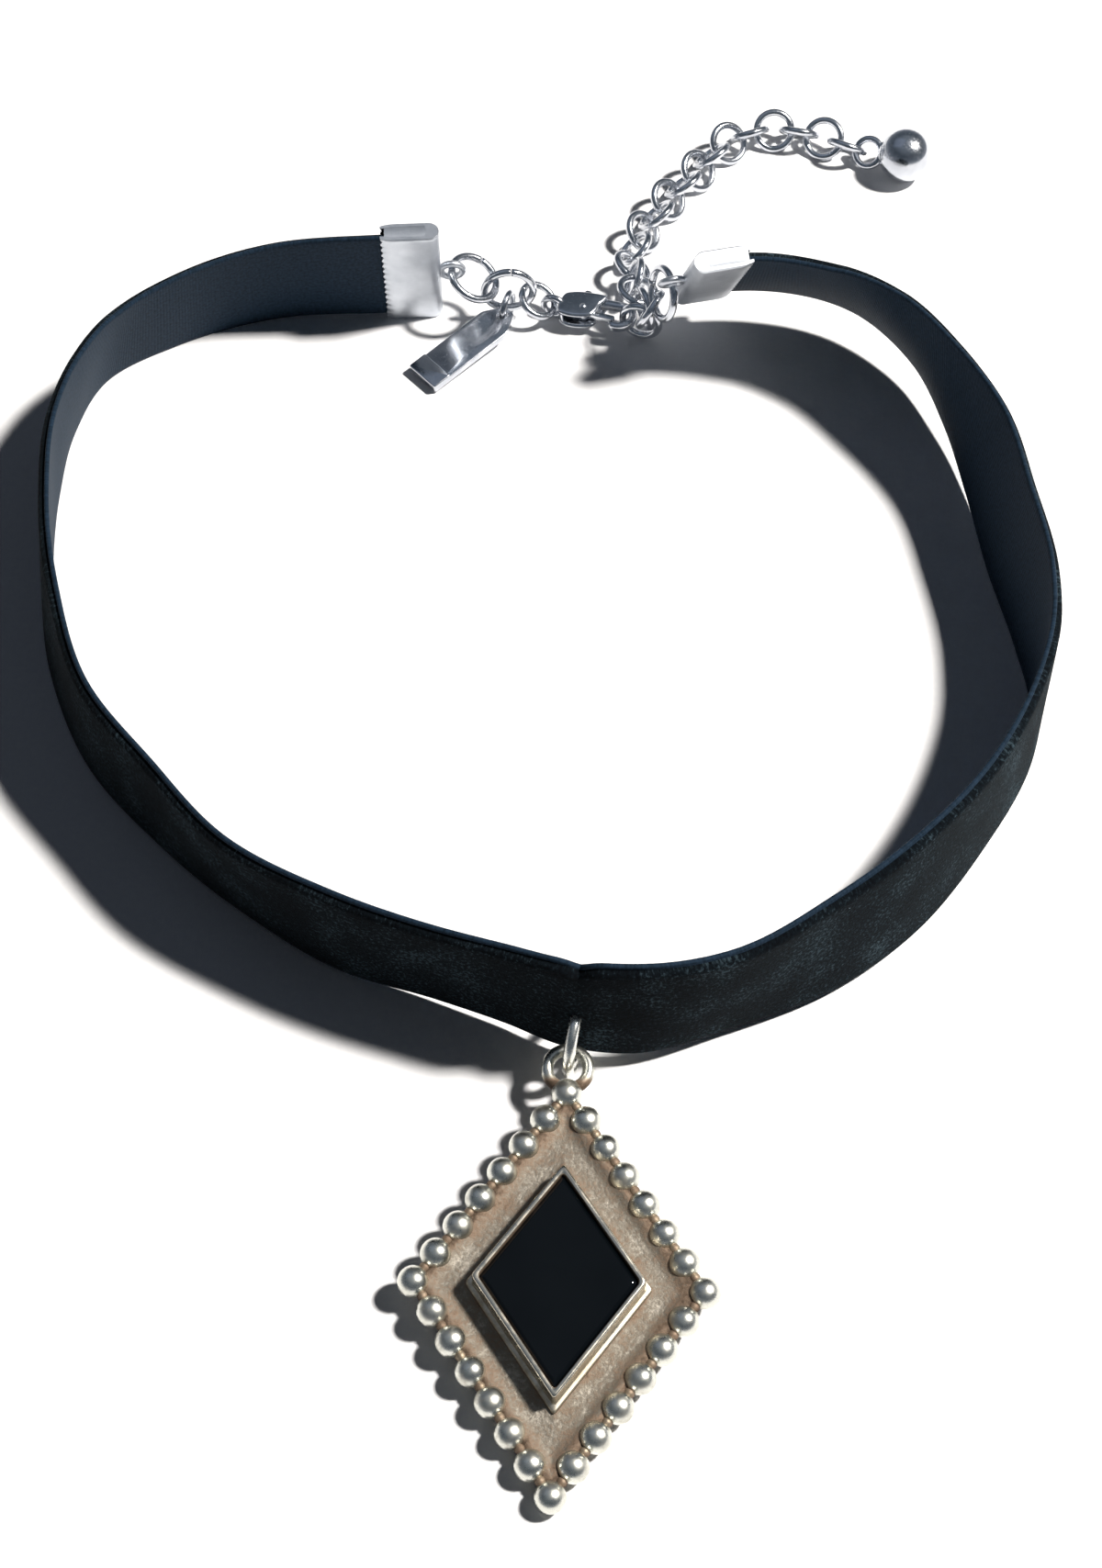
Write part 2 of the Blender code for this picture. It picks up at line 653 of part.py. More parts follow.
def build_extender(held):
    """The loose end: links from the held one to the ball, each leaning the other way."""
    links = loose_links(held)
    for number, (centre, along, lean) in enumerate(links):
        axis = Matrix.Rotation(lean, 3, along) @ UP
        name = f"extender_link_{number + 3:02d}"
        build_ring(name, centre, along, axis, LINK_RADIUS, LINK_WIRE, LINK_SIDES)
    return links[-2][0], links[-1][0]


def build_ball(before, last):
    """The end ball with its eye through the last link."""
    along = (last - before).normalized()
    along = Vector((along.x, along.y, 0.0)).normalized()
    along = Matrix.Rotation(BALL_TURN, 3, "Z") @ along
    eye = last + along * reach_between(LINK_RADIUS, BALL_EYE_RADIUS, LINK_WIRE, BALL_EYE_WIRE)
    centre_distance = BALL_EYE_RADIUS + BALL_RADIUS - BALL_EYE_SUNK
    rise = BALL_RADIUS + FLOOR_GAP - eye.z
    level = math.sqrt(centre_distance**2 - rise**2)
    centre = eye + along * level + UP * rise
    heading = (eye - centre).normalized()
    axis = Matrix.Rotation(loose_lean(LINK_COUNT - 2), 3, along) @ UP
    ball = add_object("end_ball", ball_mesh("end_ball", BALL_RADIUS, 16, 10),
                      frame_matrix(centre, heading, UP), finish="nickel")
    ring = add_object("eye", torus_mesh("eye", BALL_EYE_RADIUS, BALL_EYE_WIRE, 12),
                      frame_matrix(eye, heading, axis))
    combine(ball, "UNION", [ring])
    return ball


# Clasp
def clasp_outline():
    """The claw seen from above: tail, arm, nose and hook tip, open at the lever's side."""
    half = CLASP_HALF_WIDTH
    nose = (CLASP_NOSE_CENTRE, 0.0)
    outer = CLASP_NOSE_INNER + CLASP_NOSE_WALL
    quarter = math.pi / 2
    around = ring_outline(outer, 11, -quarter * 1.15, quarter * 2.15, nose, closed=False)
    inside = ring_outline(CLASP_NOSE_INNER, 9, quarter, -quarter * 2, nose, closed=False)
    tip = (nose[0] - 0.8 * CLASP_NOSE_INNER, -CLASP_NOSE_INNER)
    back = [(along * CLASP_TAIL, aside * half) for along, aside in CLASP_OUTLINE]
    return back + inside + [tip] + around


def build_clasp_body(clasp):
    """The claw with a slot for the lever, a pin hole and a tail eye."""
    half = 0.5 * CLASP_BODY_THICKNESS
    hook = 0.5 * CLASP_HOOK_THICKNESS
    body = add_object("clasp_body", prism_mesh("clasp_body", clasp_outline(), -half, half), clasp,
                      finish="nickel")
    far = 4 * CLASP_HALF_WIDTH
    front = CLASP_SLOT_FRONT + CLASP_SHOULDER
    thin = [(front, -far), (far, -far), (far, far), (front, far)]
    slot = 0.5 * LEVER_THICKNESS + LEVER_SIDE_CLEARANCE
    end = CLASP_SLOT_FRONT + 0.5 * CLASP_SHOULDER
    opening = [(-CLASP_SLOT_BACK, -far), (end, -far), (end, far), (-CLASP_SLOT_BACK, far)]
    cuts = [add_object("cut", prism_mesh("cut", thin, hook, 3 * half), clasp),
            add_object("cut", prism_mesh("cut", thin, -3 * half, -hook), clasp),
            add_object("cut", prism_mesh("cut", opening, -slot, slot), clasp)]
    pin = (LEVER_PIVOT[0], LEVER_PIVOT[1], 0.0)
    bore = cylinder_mesh("cut", LEVER_PIN + LEVER_PIN_CLEARANCE, 6 * half, 12, pin)
    cuts.append(add_object("cut", bore, clasp))
    combine(body, "DIFFERENCE", cuts)
    tail = clasp @ Matrix.Translation((-CLASP_TAIL, 0.0, 0.0)) @ Matrix.Rotation(math.pi / 2, 4, "X")
    eye = add_object("eye", torus_mesh("eye", CLASP_EYE_RADIUS, CLASP_EYE_WIRE, 12), tail)
    combine(body, "UNION", [eye])
    return body


def build_clasp_lever(clasp):
    """The sprung gate with its thumb tab; its origin is on the pin's axis."""
    half = 0.5 * LEVER_THICKNESS
    arm = 0.5 * LEVER_WIDTH
    place = clasp @ Matrix.Translation((LEVER_PIVOT[0], LEVER_PIVOT[1], 0.0))
    gate = [(0.0, -arm), (LEVER_REACH, -LEVER_DROOP - arm), (LEVER_REACH, arm - LEVER_DROOP),
            (0.0, arm)]
    wide, high = LEVER_TAB_WIDTH, LEVER_TAB
    tab = [(-0.1 * wide, 0.0), (0.1 * wide, 0.9 * high), (-0.2 * wide, high),
           (-0.8 * wide, high), (-wide, 0.85 * high), (-0.85 * wide, 0.0)]
    lever = add_object("clasp_lever", cylinder_mesh("clasp_lever", LEVER_BARREL, LEVER_THICKNESS, 12),
                       place, finish="nickel")
    parts = [add_object("gate", prism_mesh("gate", gate, -half, half), place),
             add_object("tab", prism_mesh("tab", tab, -half, half), place),
             add_object("pin", cylinder_mesh("pin", LEVER_PIN, CLASP_BODY_THICKNESS, 12), place)]
    combine(lever, "UNION", parts)
    return lever


# Tag
def build_tag_link(tag_ring_centre):
    """A small ring under the tag ring; returns the point of its wire that the tag hangs on."""
    low = tag_ring_centre - UP * JUMP_RING_RADIUS
    slack = TAG_LINK_RADIUS - 0.5 * (JUMP_RING_WIRE + TAG_LINK_WIRE) - WIRE_GAP
    rise = TAG_LINK_RADIUS + 0.5 * TAG_LINK_WIRE + FLOOR_GAP - low.z
    rise = min(max(rise, 0.0), slack)
    forward = plan_direction(CLASP_YAW - math.pi / 2)
    centre = low + UP * rise + forward * math.sqrt(slack * slack - rise * rise)
    build_ring("tag_link", centre, forward, UP.cross(forward),
               TAG_LINK_RADIUS, TAG_LINK_WIRE, LINK_SIDES)
    return centre + forward * TAG_LINK_RADIUS


def build_tag(ring_point):
    """A bare rectangular tag hanging from its link, with a raised end strip."""
    heading = plan_direction(TAG_YAW)
    edge = TAG_HOLE + TAG_RIM
    half = 0.5 * TAG_WIDTH
    far = TAG_LENGTH - edge
    rest = 0.5 * TAG_THICKNESS + TAG_STEP + FLOOR_GAP
    fall = math.asin(min(0.9, (ring_point.z - rest) / far))
    along = heading * math.cos(fall) - UP * math.sin(fall)
    place = frame_matrix(ring_point, along, UP)
    thick = 0.5 * TAG_THICKNESS
    neck = 0.5 * TAG_NECK
    plate = [(-edge, -neck), (edge, -half), (far, -half), (far, half), (edge, half), (-edge, neck)]
    strip = [(far - TAG_STRIP, -half), (far, -half), (far, half), (far - TAG_STRIP, half)]
    tag = add_object("bare_tag", prism_mesh("bare_tag", plate, -thick, thick), place, finish="nickel")
    end = add_object("strip", prism_mesh("strip", strip, -thick, thick + TAG_STEP), place)
    combine(tag, "UNION", [end])
    drill = add_object("drill", cylinder_mesh("drill", TAG_HOLE, 6 * TAG_THICKNESS, 12), place)
    combine(tag, "DIFFERENCE", [drill])
    return tag


# Pendant
def lozenge(half_width, half_height):
    """The four corners of a lozenge, from the right one anticlockwise."""
    return [(half_width, 0.0), (0.0, half_height), (-half_width, 0.0), (0.0, -half_height)]


def lozenge_offset(half_width, half_height, offset):
    """Half diagonals of the lozenge whose sides lie further in by offset."""
    side = math.hypot(half_width, half_height)
    share = 1.0 - offset * side / (half_width * half_height)
    return half_width * share, half_height * share


def pendant_ring_frame(path, distance):
    """The pendant's ring: it stands square to the ribbon, on the surface, under its foot."""
    foot, _, normal, _ = path.frame(distance)
    outward = Vector((normal.x, normal.y, 0.0)).normalized()
    rise = PENDANT_RING_RADIUS + 0.5 * PENDANT_RING_WIRE + FLOOR_GAP
    centre = Vector((foot.x, foot.y, rise))
    return frame_matrix(centre, outward, outward.cross(UP))


def pendant_loop_reach():
    """Distance from the lozenge's centre to the loop's centre."""
    return PENDANT_HALF_HEIGHT + BEAD_RADIUS + PENDANT_LOOP_RADIUS - PENDANT_LOOP_OVERLAP


def pendant_frame(ring_place):
    """The pendant's plane, local Y toward its loop, origin at the lozenge's centre."""
    loop = ring_place @ Vector((PENDANT_RING_RADIUS, 0.0, 0.0))
    loop_reach = pendant_loop_reach()
    whole = loop_reach + PENDANT_HALF_HEIGHT
    tilt = math.asin((loop.z - BEAD_RADIUS - FLOOR_GAP) / whole)
    level = Matrix.Rotation(PENDANT_YAW, 3, "Z") @ Vector((0.0, 1.0, 0.0))
    up_along = level * math.cos(tilt) + UP * math.sin(tilt)
    facing = UP * math.cos(tilt) - level * math.sin(tilt)
    return frame_matrix(loop - up_along * loop_reach, up_along.cross(facing), facing)


def bead_places():
    """Centres of the beads round the lozenge, evenly spaced, a bead on each corner."""
    corners = lozenge(PENDANT_HALF_WIDTH, PENDANT_HALF_HEIGHT)
    places = []
    for start, end in zip(corners, corners[1:] + corners[:1]):
        for k in range(BEADS_PER_SIDE):
            share = k / BEADS_PER_SIDE
            places.append((start[0] + (end[0] - start[0]) * share,
                           start[1] + (end[1] - start[1]) * share))
    return places


def build_setting(place):
    """Plate, beaded border, granules, bezel and loop, cast as one piece."""
    low, high = PLATE_FLOOR - BEAD_RADIUS, PLATE_FLOOR + PLATE_THICKNESS - BEAD_RADIUS
    plate = lozenge(*lozenge_offset(PENDANT_HALF_WIDTH, PENDANT_HALF_HEIGHT, -0.25 * BEAD_RADIUS))
    setting = add_object("pendant_setting", prism_mesh("pendant_setting", plate, low, high), place,
                         finish="silver")
    step = lozenge(*lozenge_offset(BEZEL_HALF_WIDTH, BEZEL_HALF_HEIGHT, -BEZEL_STEP))
    wall = lozenge(BEZEL_HALF_WIDTH, BEZEL_HALF_HEIGHT)
    inner = lozenge(*lozenge_offset(BEZEL_HALF_WIDTH, BEZEL_HALF_HEIGHT, BEZEL_WALL))
    middle = 0.5 * (low + high)
    combine(setting, "UNION", [
        add_object("step", prism_mesh("step", step, middle, high + BEZEL_STEP), place),
        add_object("wall", prism_mesh("wall", wall, middle, high + BEZEL_HEIGHT), place)])
    combine(setting, "DIFFERENCE", [
        add_object("pocket", prism_mesh("pocket", inner, high, high + 2 * BEZEL_HEIGHT), place)])
    pieces = bmesh.new()
    places = bead_places()
    for x, y in places:
        bmesh.ops.create_uvsphere(pieces, u_segments=10, v_segments=6, radius=BEAD_RADIUS,
                                  matrix=Matrix.Translation((x, y, 0.0)))
    beads = bpy.data.meshes.new("beads")
    pieces.to_mesh(beads)
    pieces.free()
    grains = bmesh.new()
    for (x1, y1), (x2, y2) in zip(places, places[1:] + places[:1]):
        bmesh.ops.create_uvsphere(grains, u_segments=6, v_segments=4, radius=GRANULE_RADIUS,
                                  matrix=Matrix.Translation((0.5 * (x1 + x2), 0.5 * (y1 + y2), 0.0)))
    granules = bpy.data.meshes.new("granules")
    grains.to_mesh(granules)
    grains.free()
    loop = add_object("loop", torus_mesh("loop", PENDANT_LOOP_RADIUS, PENDANT_LOOP_WIRE, 12),
                      place @ Matrix.Translation((0.0, pendant_loop_reach(), 0.0)))
    combine(setting, "UNION", [
        add_object("beads", beads, place), add_object("granules", granules, place), loop])
    return setting


def build_stone(place):
    """A flat lozenge of onyx with a narrow bevel round its table."""
    floor = PLATE_FLOOR + PLATE_THICKNESS - BEAD_RADIUS
    bottom = floor + STONE_CLEARANCE
    top = floor + BEZEL_HEIGHT - STONE_BELOW_RIM
    girdle = lozenge(*lozenge_offset(BEZEL_HALF_WIDTH, BEZEL_HALF_HEIGHT, BEZEL_WALL + STONE_CLEARANCE))
    table = lozenge(*lozenge_offset(BEZEL_HALF_WIDTH, BEZEL_HALF_HEIGHT,
                                    BEZEL_WALL + STONE_CLEARANCE + STONE_BEVEL))
    rings = [[(x, y, bottom) for x, y in girdle], [(x, y, top - 0.6 * STONE_BEVEL) for x, y in girdle],
             [(x, y, top) for x, y in table]]
    vertices = [point for ring in rings for point in ring]
    faces = [(0, 3, 2, 1), (8, 9, 10, 11)]
    for level in (0, 4):
        faces += [(level + i, level + (i + 1) % 4, level + 4 + (i + 1) % 4, level + 4 + i)
                  for i in range(4)]
    return add_object("pendant_stone", mesh_from("pendant_stone", vertices, faces), place, finish="onyx")


def centre_on_origin():
    """Move the whole part so that its box is centred on the origin, on the surface."""
    bpy.context.view_layer.update()
    things = [thing for thing in bpy.data.objects if thing.type == "MESH"]
    corners = np.array([tuple(thing.matrix_world @ vertex.co)
                        for thing in things for vertex in thing.data.vertices])
    middle = 0.5 * (corners.min(axis=0) + corners.max(axis=0))
    shift = Matrix.Translation((-middle[0], -middle[1], -corners[:, 2].min()))
    for thing in things:
        thing.matrix_world = shift @ thing.matrix_world


def build_necklace():
    """Build every piece from the clasp outward, then the ribbon and the pendant."""
    clear_scene()
    clasp = clasp_frame()
    left, right = clamps()
    path = RibbonPath(left, right)
    crease = path.distance_at(CREASE_AZIMUTH)
    ring_place = pendant_ring_frame(path, crease)
    build_ribbon(path, crease, ring_place)
    build_clamp("ribbon_clamp_left", left)
    build_clamp("ribbon_clamp_right", right)
    tag_ring_centre = build_left_run(clasp, left)
    build_tag(build_tag_link(tag_ring_centre))
    build_clasp_body(clasp)
    build_clasp_lever(clasp)
    held = build_right_run(clasp, right)
    build_ball(*build_extender(held))
    ring = torus_mesh("pendant_jump_ring", PENDANT_RING_RADIUS, PENDANT_RING_WIRE, 16)
    add_object("pendant_jump_ring", ring, ring_place, finish="silver")
    pendant = pendant_frame(ring_place)
    build_setting(pendant)
    build_stone(pendant)
    centre_on_origin()


build_necklace()
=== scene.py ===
# %% [markdown]
# A velvet ribbon choker with an antique silver pendant
#
# The solids give every piece its size and place. This script dresses them: the ribbon gets its
# pile and selvedges, the rings become round wire, and the pendant gets its beads and patina.
# Everything is in metres, the surface is z = 0 and the pendant points to -Y.

# %% Load the frame
import math

import bmesh
import bpy
import numpy as np
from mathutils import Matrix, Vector


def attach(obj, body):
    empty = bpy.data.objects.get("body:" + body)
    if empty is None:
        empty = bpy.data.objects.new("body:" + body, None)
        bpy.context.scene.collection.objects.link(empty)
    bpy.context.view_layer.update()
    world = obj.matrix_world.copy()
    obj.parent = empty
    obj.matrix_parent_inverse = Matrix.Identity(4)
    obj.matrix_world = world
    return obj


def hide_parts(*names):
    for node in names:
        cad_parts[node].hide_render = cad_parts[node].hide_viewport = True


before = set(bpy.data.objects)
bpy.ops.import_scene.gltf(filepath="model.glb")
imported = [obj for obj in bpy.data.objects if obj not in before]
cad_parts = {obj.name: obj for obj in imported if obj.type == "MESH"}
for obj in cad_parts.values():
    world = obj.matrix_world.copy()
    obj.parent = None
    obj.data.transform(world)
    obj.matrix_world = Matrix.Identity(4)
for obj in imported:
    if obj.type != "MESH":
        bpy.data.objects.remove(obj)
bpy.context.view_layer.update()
MM = 0.001
BODY = "necklace"
LEVER = "lever"

# %% [markdown]
# Camera
#
# The photo looks down on the choker from the front. A camera's field of view follows from its
# lens and its sensor, so one focal length in pixels gives the lens, and the place is the
# photo's viewing angle and distance from HOME, a point inside the ribbon's loop. Other places
# below are given from HOME too.

# %% Make the camera
PHOTO_HEIGHT = 1708
FOCAL_PIXELS = 2600
HOME = np.array([2.147, -11.659, 0.0]) * MM
DISTANCE = 260 * MM
ELEVATION = math.radians(57)
camera_data = bpy.data.cameras.new("photo_camera")
camera_data.sensor_width = 36.0
camera_data.lens = FOCAL_PIXELS * camera_data.sensor_width / PHOTO_HEIGHT
camera_data.clip_start = 0.01
camera = bpy.data.objects.new("photo_camera", camera_data)
camera.location = HOME + DISTANCE * np.array([0.0, -math.cos(ELEVATION), math.sin(ELEVATION)])
camera.rotation_euler = (math.pi / 2 - ELEVATION, 0.0, 0.0)
bpy.context.scene.collection.objects.link(camera)
bpy.context.scene.camera = camera
print("lens in mm:", round(camera_data.lens, 1))


def from_home(x, y, z=0.0):
    """A place in the model, given in millimetres from HOME."""
    return HOME + np.array([x, y, z]) * MM


# %% [markdown]
# Surfaces from formulas
#
# Most pieces here are a grid of points: one parameter runs along the piece and one round it.
# Each row is a closed loop. The rows meet again, as in a ring, or a flat face closes each end,
# so one function turns every such array into a closed surface.


# %% Turn a grid of points into a mesh
def shell(points, close_rows=True):
    """Points and faces of a grid: quads between neighbouring rows, and flat ends if it is open."""
    rows, columns = points.shape[:2]
    i = np.arange(rows if close_rows else rows - 1)[:, None]
    j = np.arange(columns)[None, :]
    after, across = (i + 1) % rows, (j + 1) % columns
    quads = np.stack([i * columns + j, after * columns + j,
                      after * columns + across, i * columns + across], axis=-1)
    faces = quads.reshape(-1, 4).tolist()
    if not close_rows:
        last = (rows - 1) * columns
        faces += [list(range(columns))[::-1], list(range(last, last + columns))]
    return points.reshape(-1, 3), faces


def make_piece(name, points, faces, materials, smooth=True, faces_material=None):
    """A piece from points and faces; faces_material numbers the material of each face."""
    mesh = bpy.data.meshes.new(name)
    mesh.from_pydata(points.tolist(), [], faces)
    for material in materials:
        mesh.materials.append(material)
    if faces_material is not None:
        mesh.polygons.foreach_set("material_index", np.asarray(faces_material, dtype=np.int32))
    mesh.polygons.foreach_set("use_smooth", np.full(len(mesh.polygons), smooth))
    mesh.validate()
    piece = bpy.data.objects.new(name, mesh)
    bpy.context.scene.collection.objects.link(piece)
    return piece


def unit(vector):
    """The same direction with length one."""
    vector = np.asarray(vector, dtype=float)
    return vector / np.linalg.norm(vector)


def turn_outward(piece):
    """Make a closed mesh's faces point out of it."""
    shape = bmesh.new()
    shape.from_mesh(piece.data)
    bmesh.ops.recalc_face_normals(shape, faces=shape.faces)
    shape.to_mesh(piece.data)
    shape.free()


def dress(piece, slot, *nodes, body=BODY):
    """Let a piece stand for its solids and move with their body; the slot argument is not used."""
    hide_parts(*nodes)
    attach(piece, body)


def closed_piece(name, shape, material, slot, node, body=BODY, crisp=None, patina=None):
    """A finished piece from points and faces, of one material.

    Edges stay crisp past that many degrees. The patina says how deep each point lies, from 0
    rubbed bright to 1 brown.
    """
    piece = make_piece(name, *shape, [material])
    if patina is not None:
        layer = piece.data.attributes.new("patina", "FLOAT", "POINT")
        layer.data.foreach_set("value", np.clip(patina, 0, 1).astype(np.float32).ravel())
    turn_outward(piece)
    if crisp is not None:
        piece.data.set_sharp_from_angle(angle=math.radians(crisp))
    dress(piece, slot, node, body=body)
    return piece


# %% [markdown]
# Materials in general
#
# Colours are picked as sRGB hex, the way a screen shows them, but a shader works on linear
# light, so one function converts them. Another adds a node with its settings and links.

# %% Colour and node helpers
def colour(text):
    """A linear colour with alpha from an sRGB hex value such as #c9ccd2."""
    channels = np.array([int(text[i:i + 2], 16) / 255 for i in (1, 3, 5)])
    low = channels / 12.92
    high = ((channels + 0.055) / 1.055) ** 2.4
    return (*np.where(channels <= 0.04045, low, high), 1.0)


def feed(node, **links):
    """Feed inputs, by name or as i and a number, with values, outputs or nodes' first outputs."""
    for key, value in links.items():
        socket = node.inputs[int(key[1:]) if key[1:].isdigit() else key.replace("_", " ")]
        if isinstance(value, bpy.types.Node):
            value = value.outputs[0]
        if isinstance(value, bpy.types.NodeSocket):
            node.id_data.links.new(value, socket)
        else:
            socket.default_value = value


def add(tree, kind, settings=None, **links):
    """Add a node of the type ShaderNode plus kind, with its settings and what feeds it."""
    node = tree.nodes.new("ShaderNode" + kind)
    for key, value in (settings or {}).items():
        setattr(node, key, value)
    feed(node, **links)
    return node


def start_material(name, **sockets):
    """A material with one Principled shader and its plain settings."""
    material = bpy.data.materials.new(name)
    material.use_nodes = True
    shader = material.node_tree.nodes["Principled BSDF"]
    feed(shader, **sockets)
    return material, material.node_tree, shader


def ramp(tree, factor, *stops):
    """A ramp of (place, shade) stops, read at factor; a shade is a hex colour or a grey."""
    node = add(tree, "ValToRGB", Fac=factor)
    elements = node.color_ramp.elements
    stops = [(place, colour(shade) if isinstance(shade, str) else (shade, shade, shade, 1.0))
             for place, shade in stops]
    elements[0].position, elements[0].color = stops[0]
    elements[1].position, elements[1].color = stops[-1]
    for place, shade in stops[1:-1]:
        elements.new(place).color = shade
    return node


# %% [markdown]
# Cut velvet
#
# Velvet ribbon is woven polyester with a pile that stands about a millimetre high. Light sinks
# between the fibres, so it looks nearly black straight on and lighter where the eye grazes it,
# which is what a sheen layer does. Brushed tufts about 0.4 mm wide catch the light unevenly, and
# a few pale lint fibres sit on top. The pattern follows the ribbon through its own UV map, in
# millimetres along and across.

# %% Velvet pile
def velvet_pile():
    """Black polyester cut velvet: matt, with lighter brushed tufts, fine fibres and lint."""
    material, tree, shader = start_material(
        "black_cut_velvet", Roughness=1.0, Sheen_Weight=0.10, Sheen_Roughness=0.35,
        Sheen_Tint=colour("#74858d"), Specular_IOR_Level=0.06)
    place = add(tree, "UVMap", {"uv_map": "ribbon_mm"})
    tufts = add(tree, "TexNoise", Vector=place, Scale=2.6, Detail=5.0, Roughness=0.7)
    patches = add(tree, "TexNoise", Vector=place, Scale=0.16, Detail=2.0)
    fibres = add(tree, "TexNoise", Vector=place, Scale=7.0, Detail=2.0)
    mixed = add(tree, "Math", {"operation": "MULTIPLY_ADD"}, i0=patches, i1=0.4, i2=tufts)
    pile = ramp(tree, mixed, (0.58, "#06090d"), (0.74, "#0e151a"), (0.90, "#35434b"))
    stretched = add(tree, "Mapping", Vector=place, Scale=(0.22, 0.36, 1.0))
    dots = add(tree, "TexVoronoi", {"feature": "F1"}, Vector=stretched, Scale=1.0)
    chosen = add(tree, "SeparateColor", Color=dots.outputs["Color"])
    rare = add(tree, "Math", {"operation": "GREATER_THAN"}, i0=chosen.outputs["Red"], i1=0.80)
    near = add(tree, "Math", {"operation": "LESS_THAN"}, i0=dots.outputs["Distance"], i1=0.045)
    lint = add(tree, "Math", {"operation": "MULTIPLY"}, i0=rare, i1=near)
    final = add(tree, "Mix", {"data_type": "RGBA"}, i0=lint, i6=pile, i7=colour("#74818b"))
    rough = add(tree, "Bump", Strength=0.7, Distance=0.15 * MM, Height=tufts)
    fine = add(tree, "Bump", Strength=0.6, Distance=0.06 * MM, Height=fibres, Normal=rough)
    feed(shader, Base_Color=final.outputs[2], Normal=fine)
    return material


VELVET = velvet_pile()
print("made", VELVET.name)

# %% [markdown]
# Woven backing and selvedge
#
# The back of the ribbon and the narrow edges beside the pile are plain satin weave. Its threads
# cross the ribbon about every 0.4 mm, which shows as faint ribs, and filament polyester has a
# soft blue-grey shine.

# %% Woven satin
def woven_satin():
    """Black filament satin with weft ribs every 0.4 mm, drawn a little coarse to show."""
    material, tree, shader = start_material(
        "black_woven_satin", Roughness=0.65, Sheen_Weight=0.06, Sheen_Roughness=0.3,
        Sheen_Tint=colour("#8fa3b8"), Specular_IOR_Level=0.10, Specular_Tint=colour("#a9bdd2"))
    place = add(tree, "UVMap", {"uv_map": "ribbon_mm"})
    ribs = add(tree, "TexWave", {"bands_direction": "X"}, Vector=place, Scale=0.75,
               Distortion=0.6, Detail_Scale=2.0)
    threads = add(tree, "TexNoise", Vector=place, Scale=2.5, Detail=3.0)
    shade = ramp(tree, threads, (0.3, "#14202b"), (0.7, "#213040"))
    bump = add(tree, "Bump", Strength=0.35, Distance=0.05 * MM, Height=ribs.outputs["Fac"])
    feed(shader, Base_Color=shade, Normal=bump)
    return material


SATIN = woven_satin()
print("made", SATIN.name)

# %% [markdown]
# The ribbon's route
#
# The ribbon stands on its lower edge. Its route is the same short table as the solid's: an
# azimuth about the loop's centre, a reach, a lean and a lift. A cubic curve passes through the
# rows, and the two ends sit in their clamps.

# %% Follow the route
RIBBON_WIDTH = 15.9 * MM
RIBBON_THICKNESS = 1.2 * MM
LOOP_REACH = 55.0 * MM
LOOP_CENTRE = from_home(0.0, 22.0)
FLOOR_GAP = 0.02 * MM
RIBBON_ROWS = np.array([
    # azimuth in degrees, reach as a share of LOOP_REACH, lean inward in degrees,
    # lift as a share of RIBBON_WIDTH
    (126, 1.07, 13, 0.00),
    (137, 1.15, 16, 0.00),
    (146, 1.20, 19, 0.00),
    (154, 1.17, 14, 0.00),
    (162, 1.12, 9, 0.00),
    (174, 1.06, 8, 0.00),
    (188, 1.02, 9, 0.00),
    (202, 0.98, 5, 0.00),
    (216, 0.93, 2, 0.00),
    (230, 0.905, -4, 0.00),
    (244, 0.91, -1, 0.02),
    (257, 0.915, -3, 0.07),
    (265, 0.945, -1, 0.09),
    (272, 0.995, 3, 0.10),
    (278, 1.015, 4, 0.08),
    (289, 1.00, 0, 0.02),
    (301, 1.01, 7, 0.00),
    (313, 1.01, 8, 0.00),
    (326, 1.00, 4, 0.00),
    (340, 1.01, 4, 0.00),
    (348, 1.00, 1, 0.00),
    (356, 0.965, -5, 0.00),
    (368, 0.935, -8, 0.00),
    (380, 0.956, -6, 0.04),
    (390, 1.00, 6, 0.11),
    (400, 1.048, 19, 0.19),
    (409, 1.054, 29, 0.27),
])
LEFT_END = (*from_home(-15.265, 70.491)[:2], math.radians(11), 0.477 * MM)
LEFT_MOUTH = (*from_home(-20.457, 70.219)[:2], math.radians(11), 0.477 * MM)
RIGHT_MOUTH = (*from_home(21.632, 68.953)[:2], math.radians(32), 5.409 * MM)
RIGHT_END = (*from_home(16.545, 67.872)[:2], math.radians(32), 5.409 * MM)


def route_rows():
    """Rows of x, y, lean and lift from the left clamp round to the right one."""
    azimuth, lean = np.radians(RIBBON_ROWS[:, 0]), np.radians(RIBBON_ROWS[:, 2])
    reach, lift = RIBBON_ROWS[:, 1] * LOOP_REACH, RIBBON_ROWS[:, 3] * RIBBON_WIDTH
    middle = np.stack([LOOP_CENTRE[0] + reach * np.cos(azimuth),
                       LOOP_CENTRE[1] + reach * np.sin(azimuth), lean, lift], axis=1)
    return np.concatenate([[LEFT_END, LEFT_MOUTH], middle, [RIGHT_MOUTH, RIGHT_END]])


def spline(keys, values, wanted):
    """Cubic curve through rows of values, with slopes from the rows beside each one."""
    slopes = np.gradient(values, keys, axis=0)
    index = np.clip(np.searchsorted(keys, wanted) - 1, 0, len(keys) - 2)
    span = (keys[index + 1] - keys[index])[:, None]
    t = (wanted - keys[index])[:, None] / span
    start, end = values[index], values[index + 1]
    leave, arrive = slopes[index] * span, slopes[index + 1] * span
    return ((2 * t**3 - 3 * t**2 + 1) * start + (t**3 - 2 * t**2 + t) * leave
            + (3 * t**2 - 2 * t**3) * end + (t**3 - t**2) * arrive)


ROWS = route_rows()
KEYS = np.concatenate([[0.0], np.cumsum(np.hypot(*np.diff(ROWS[:, :2], axis=0).T))])


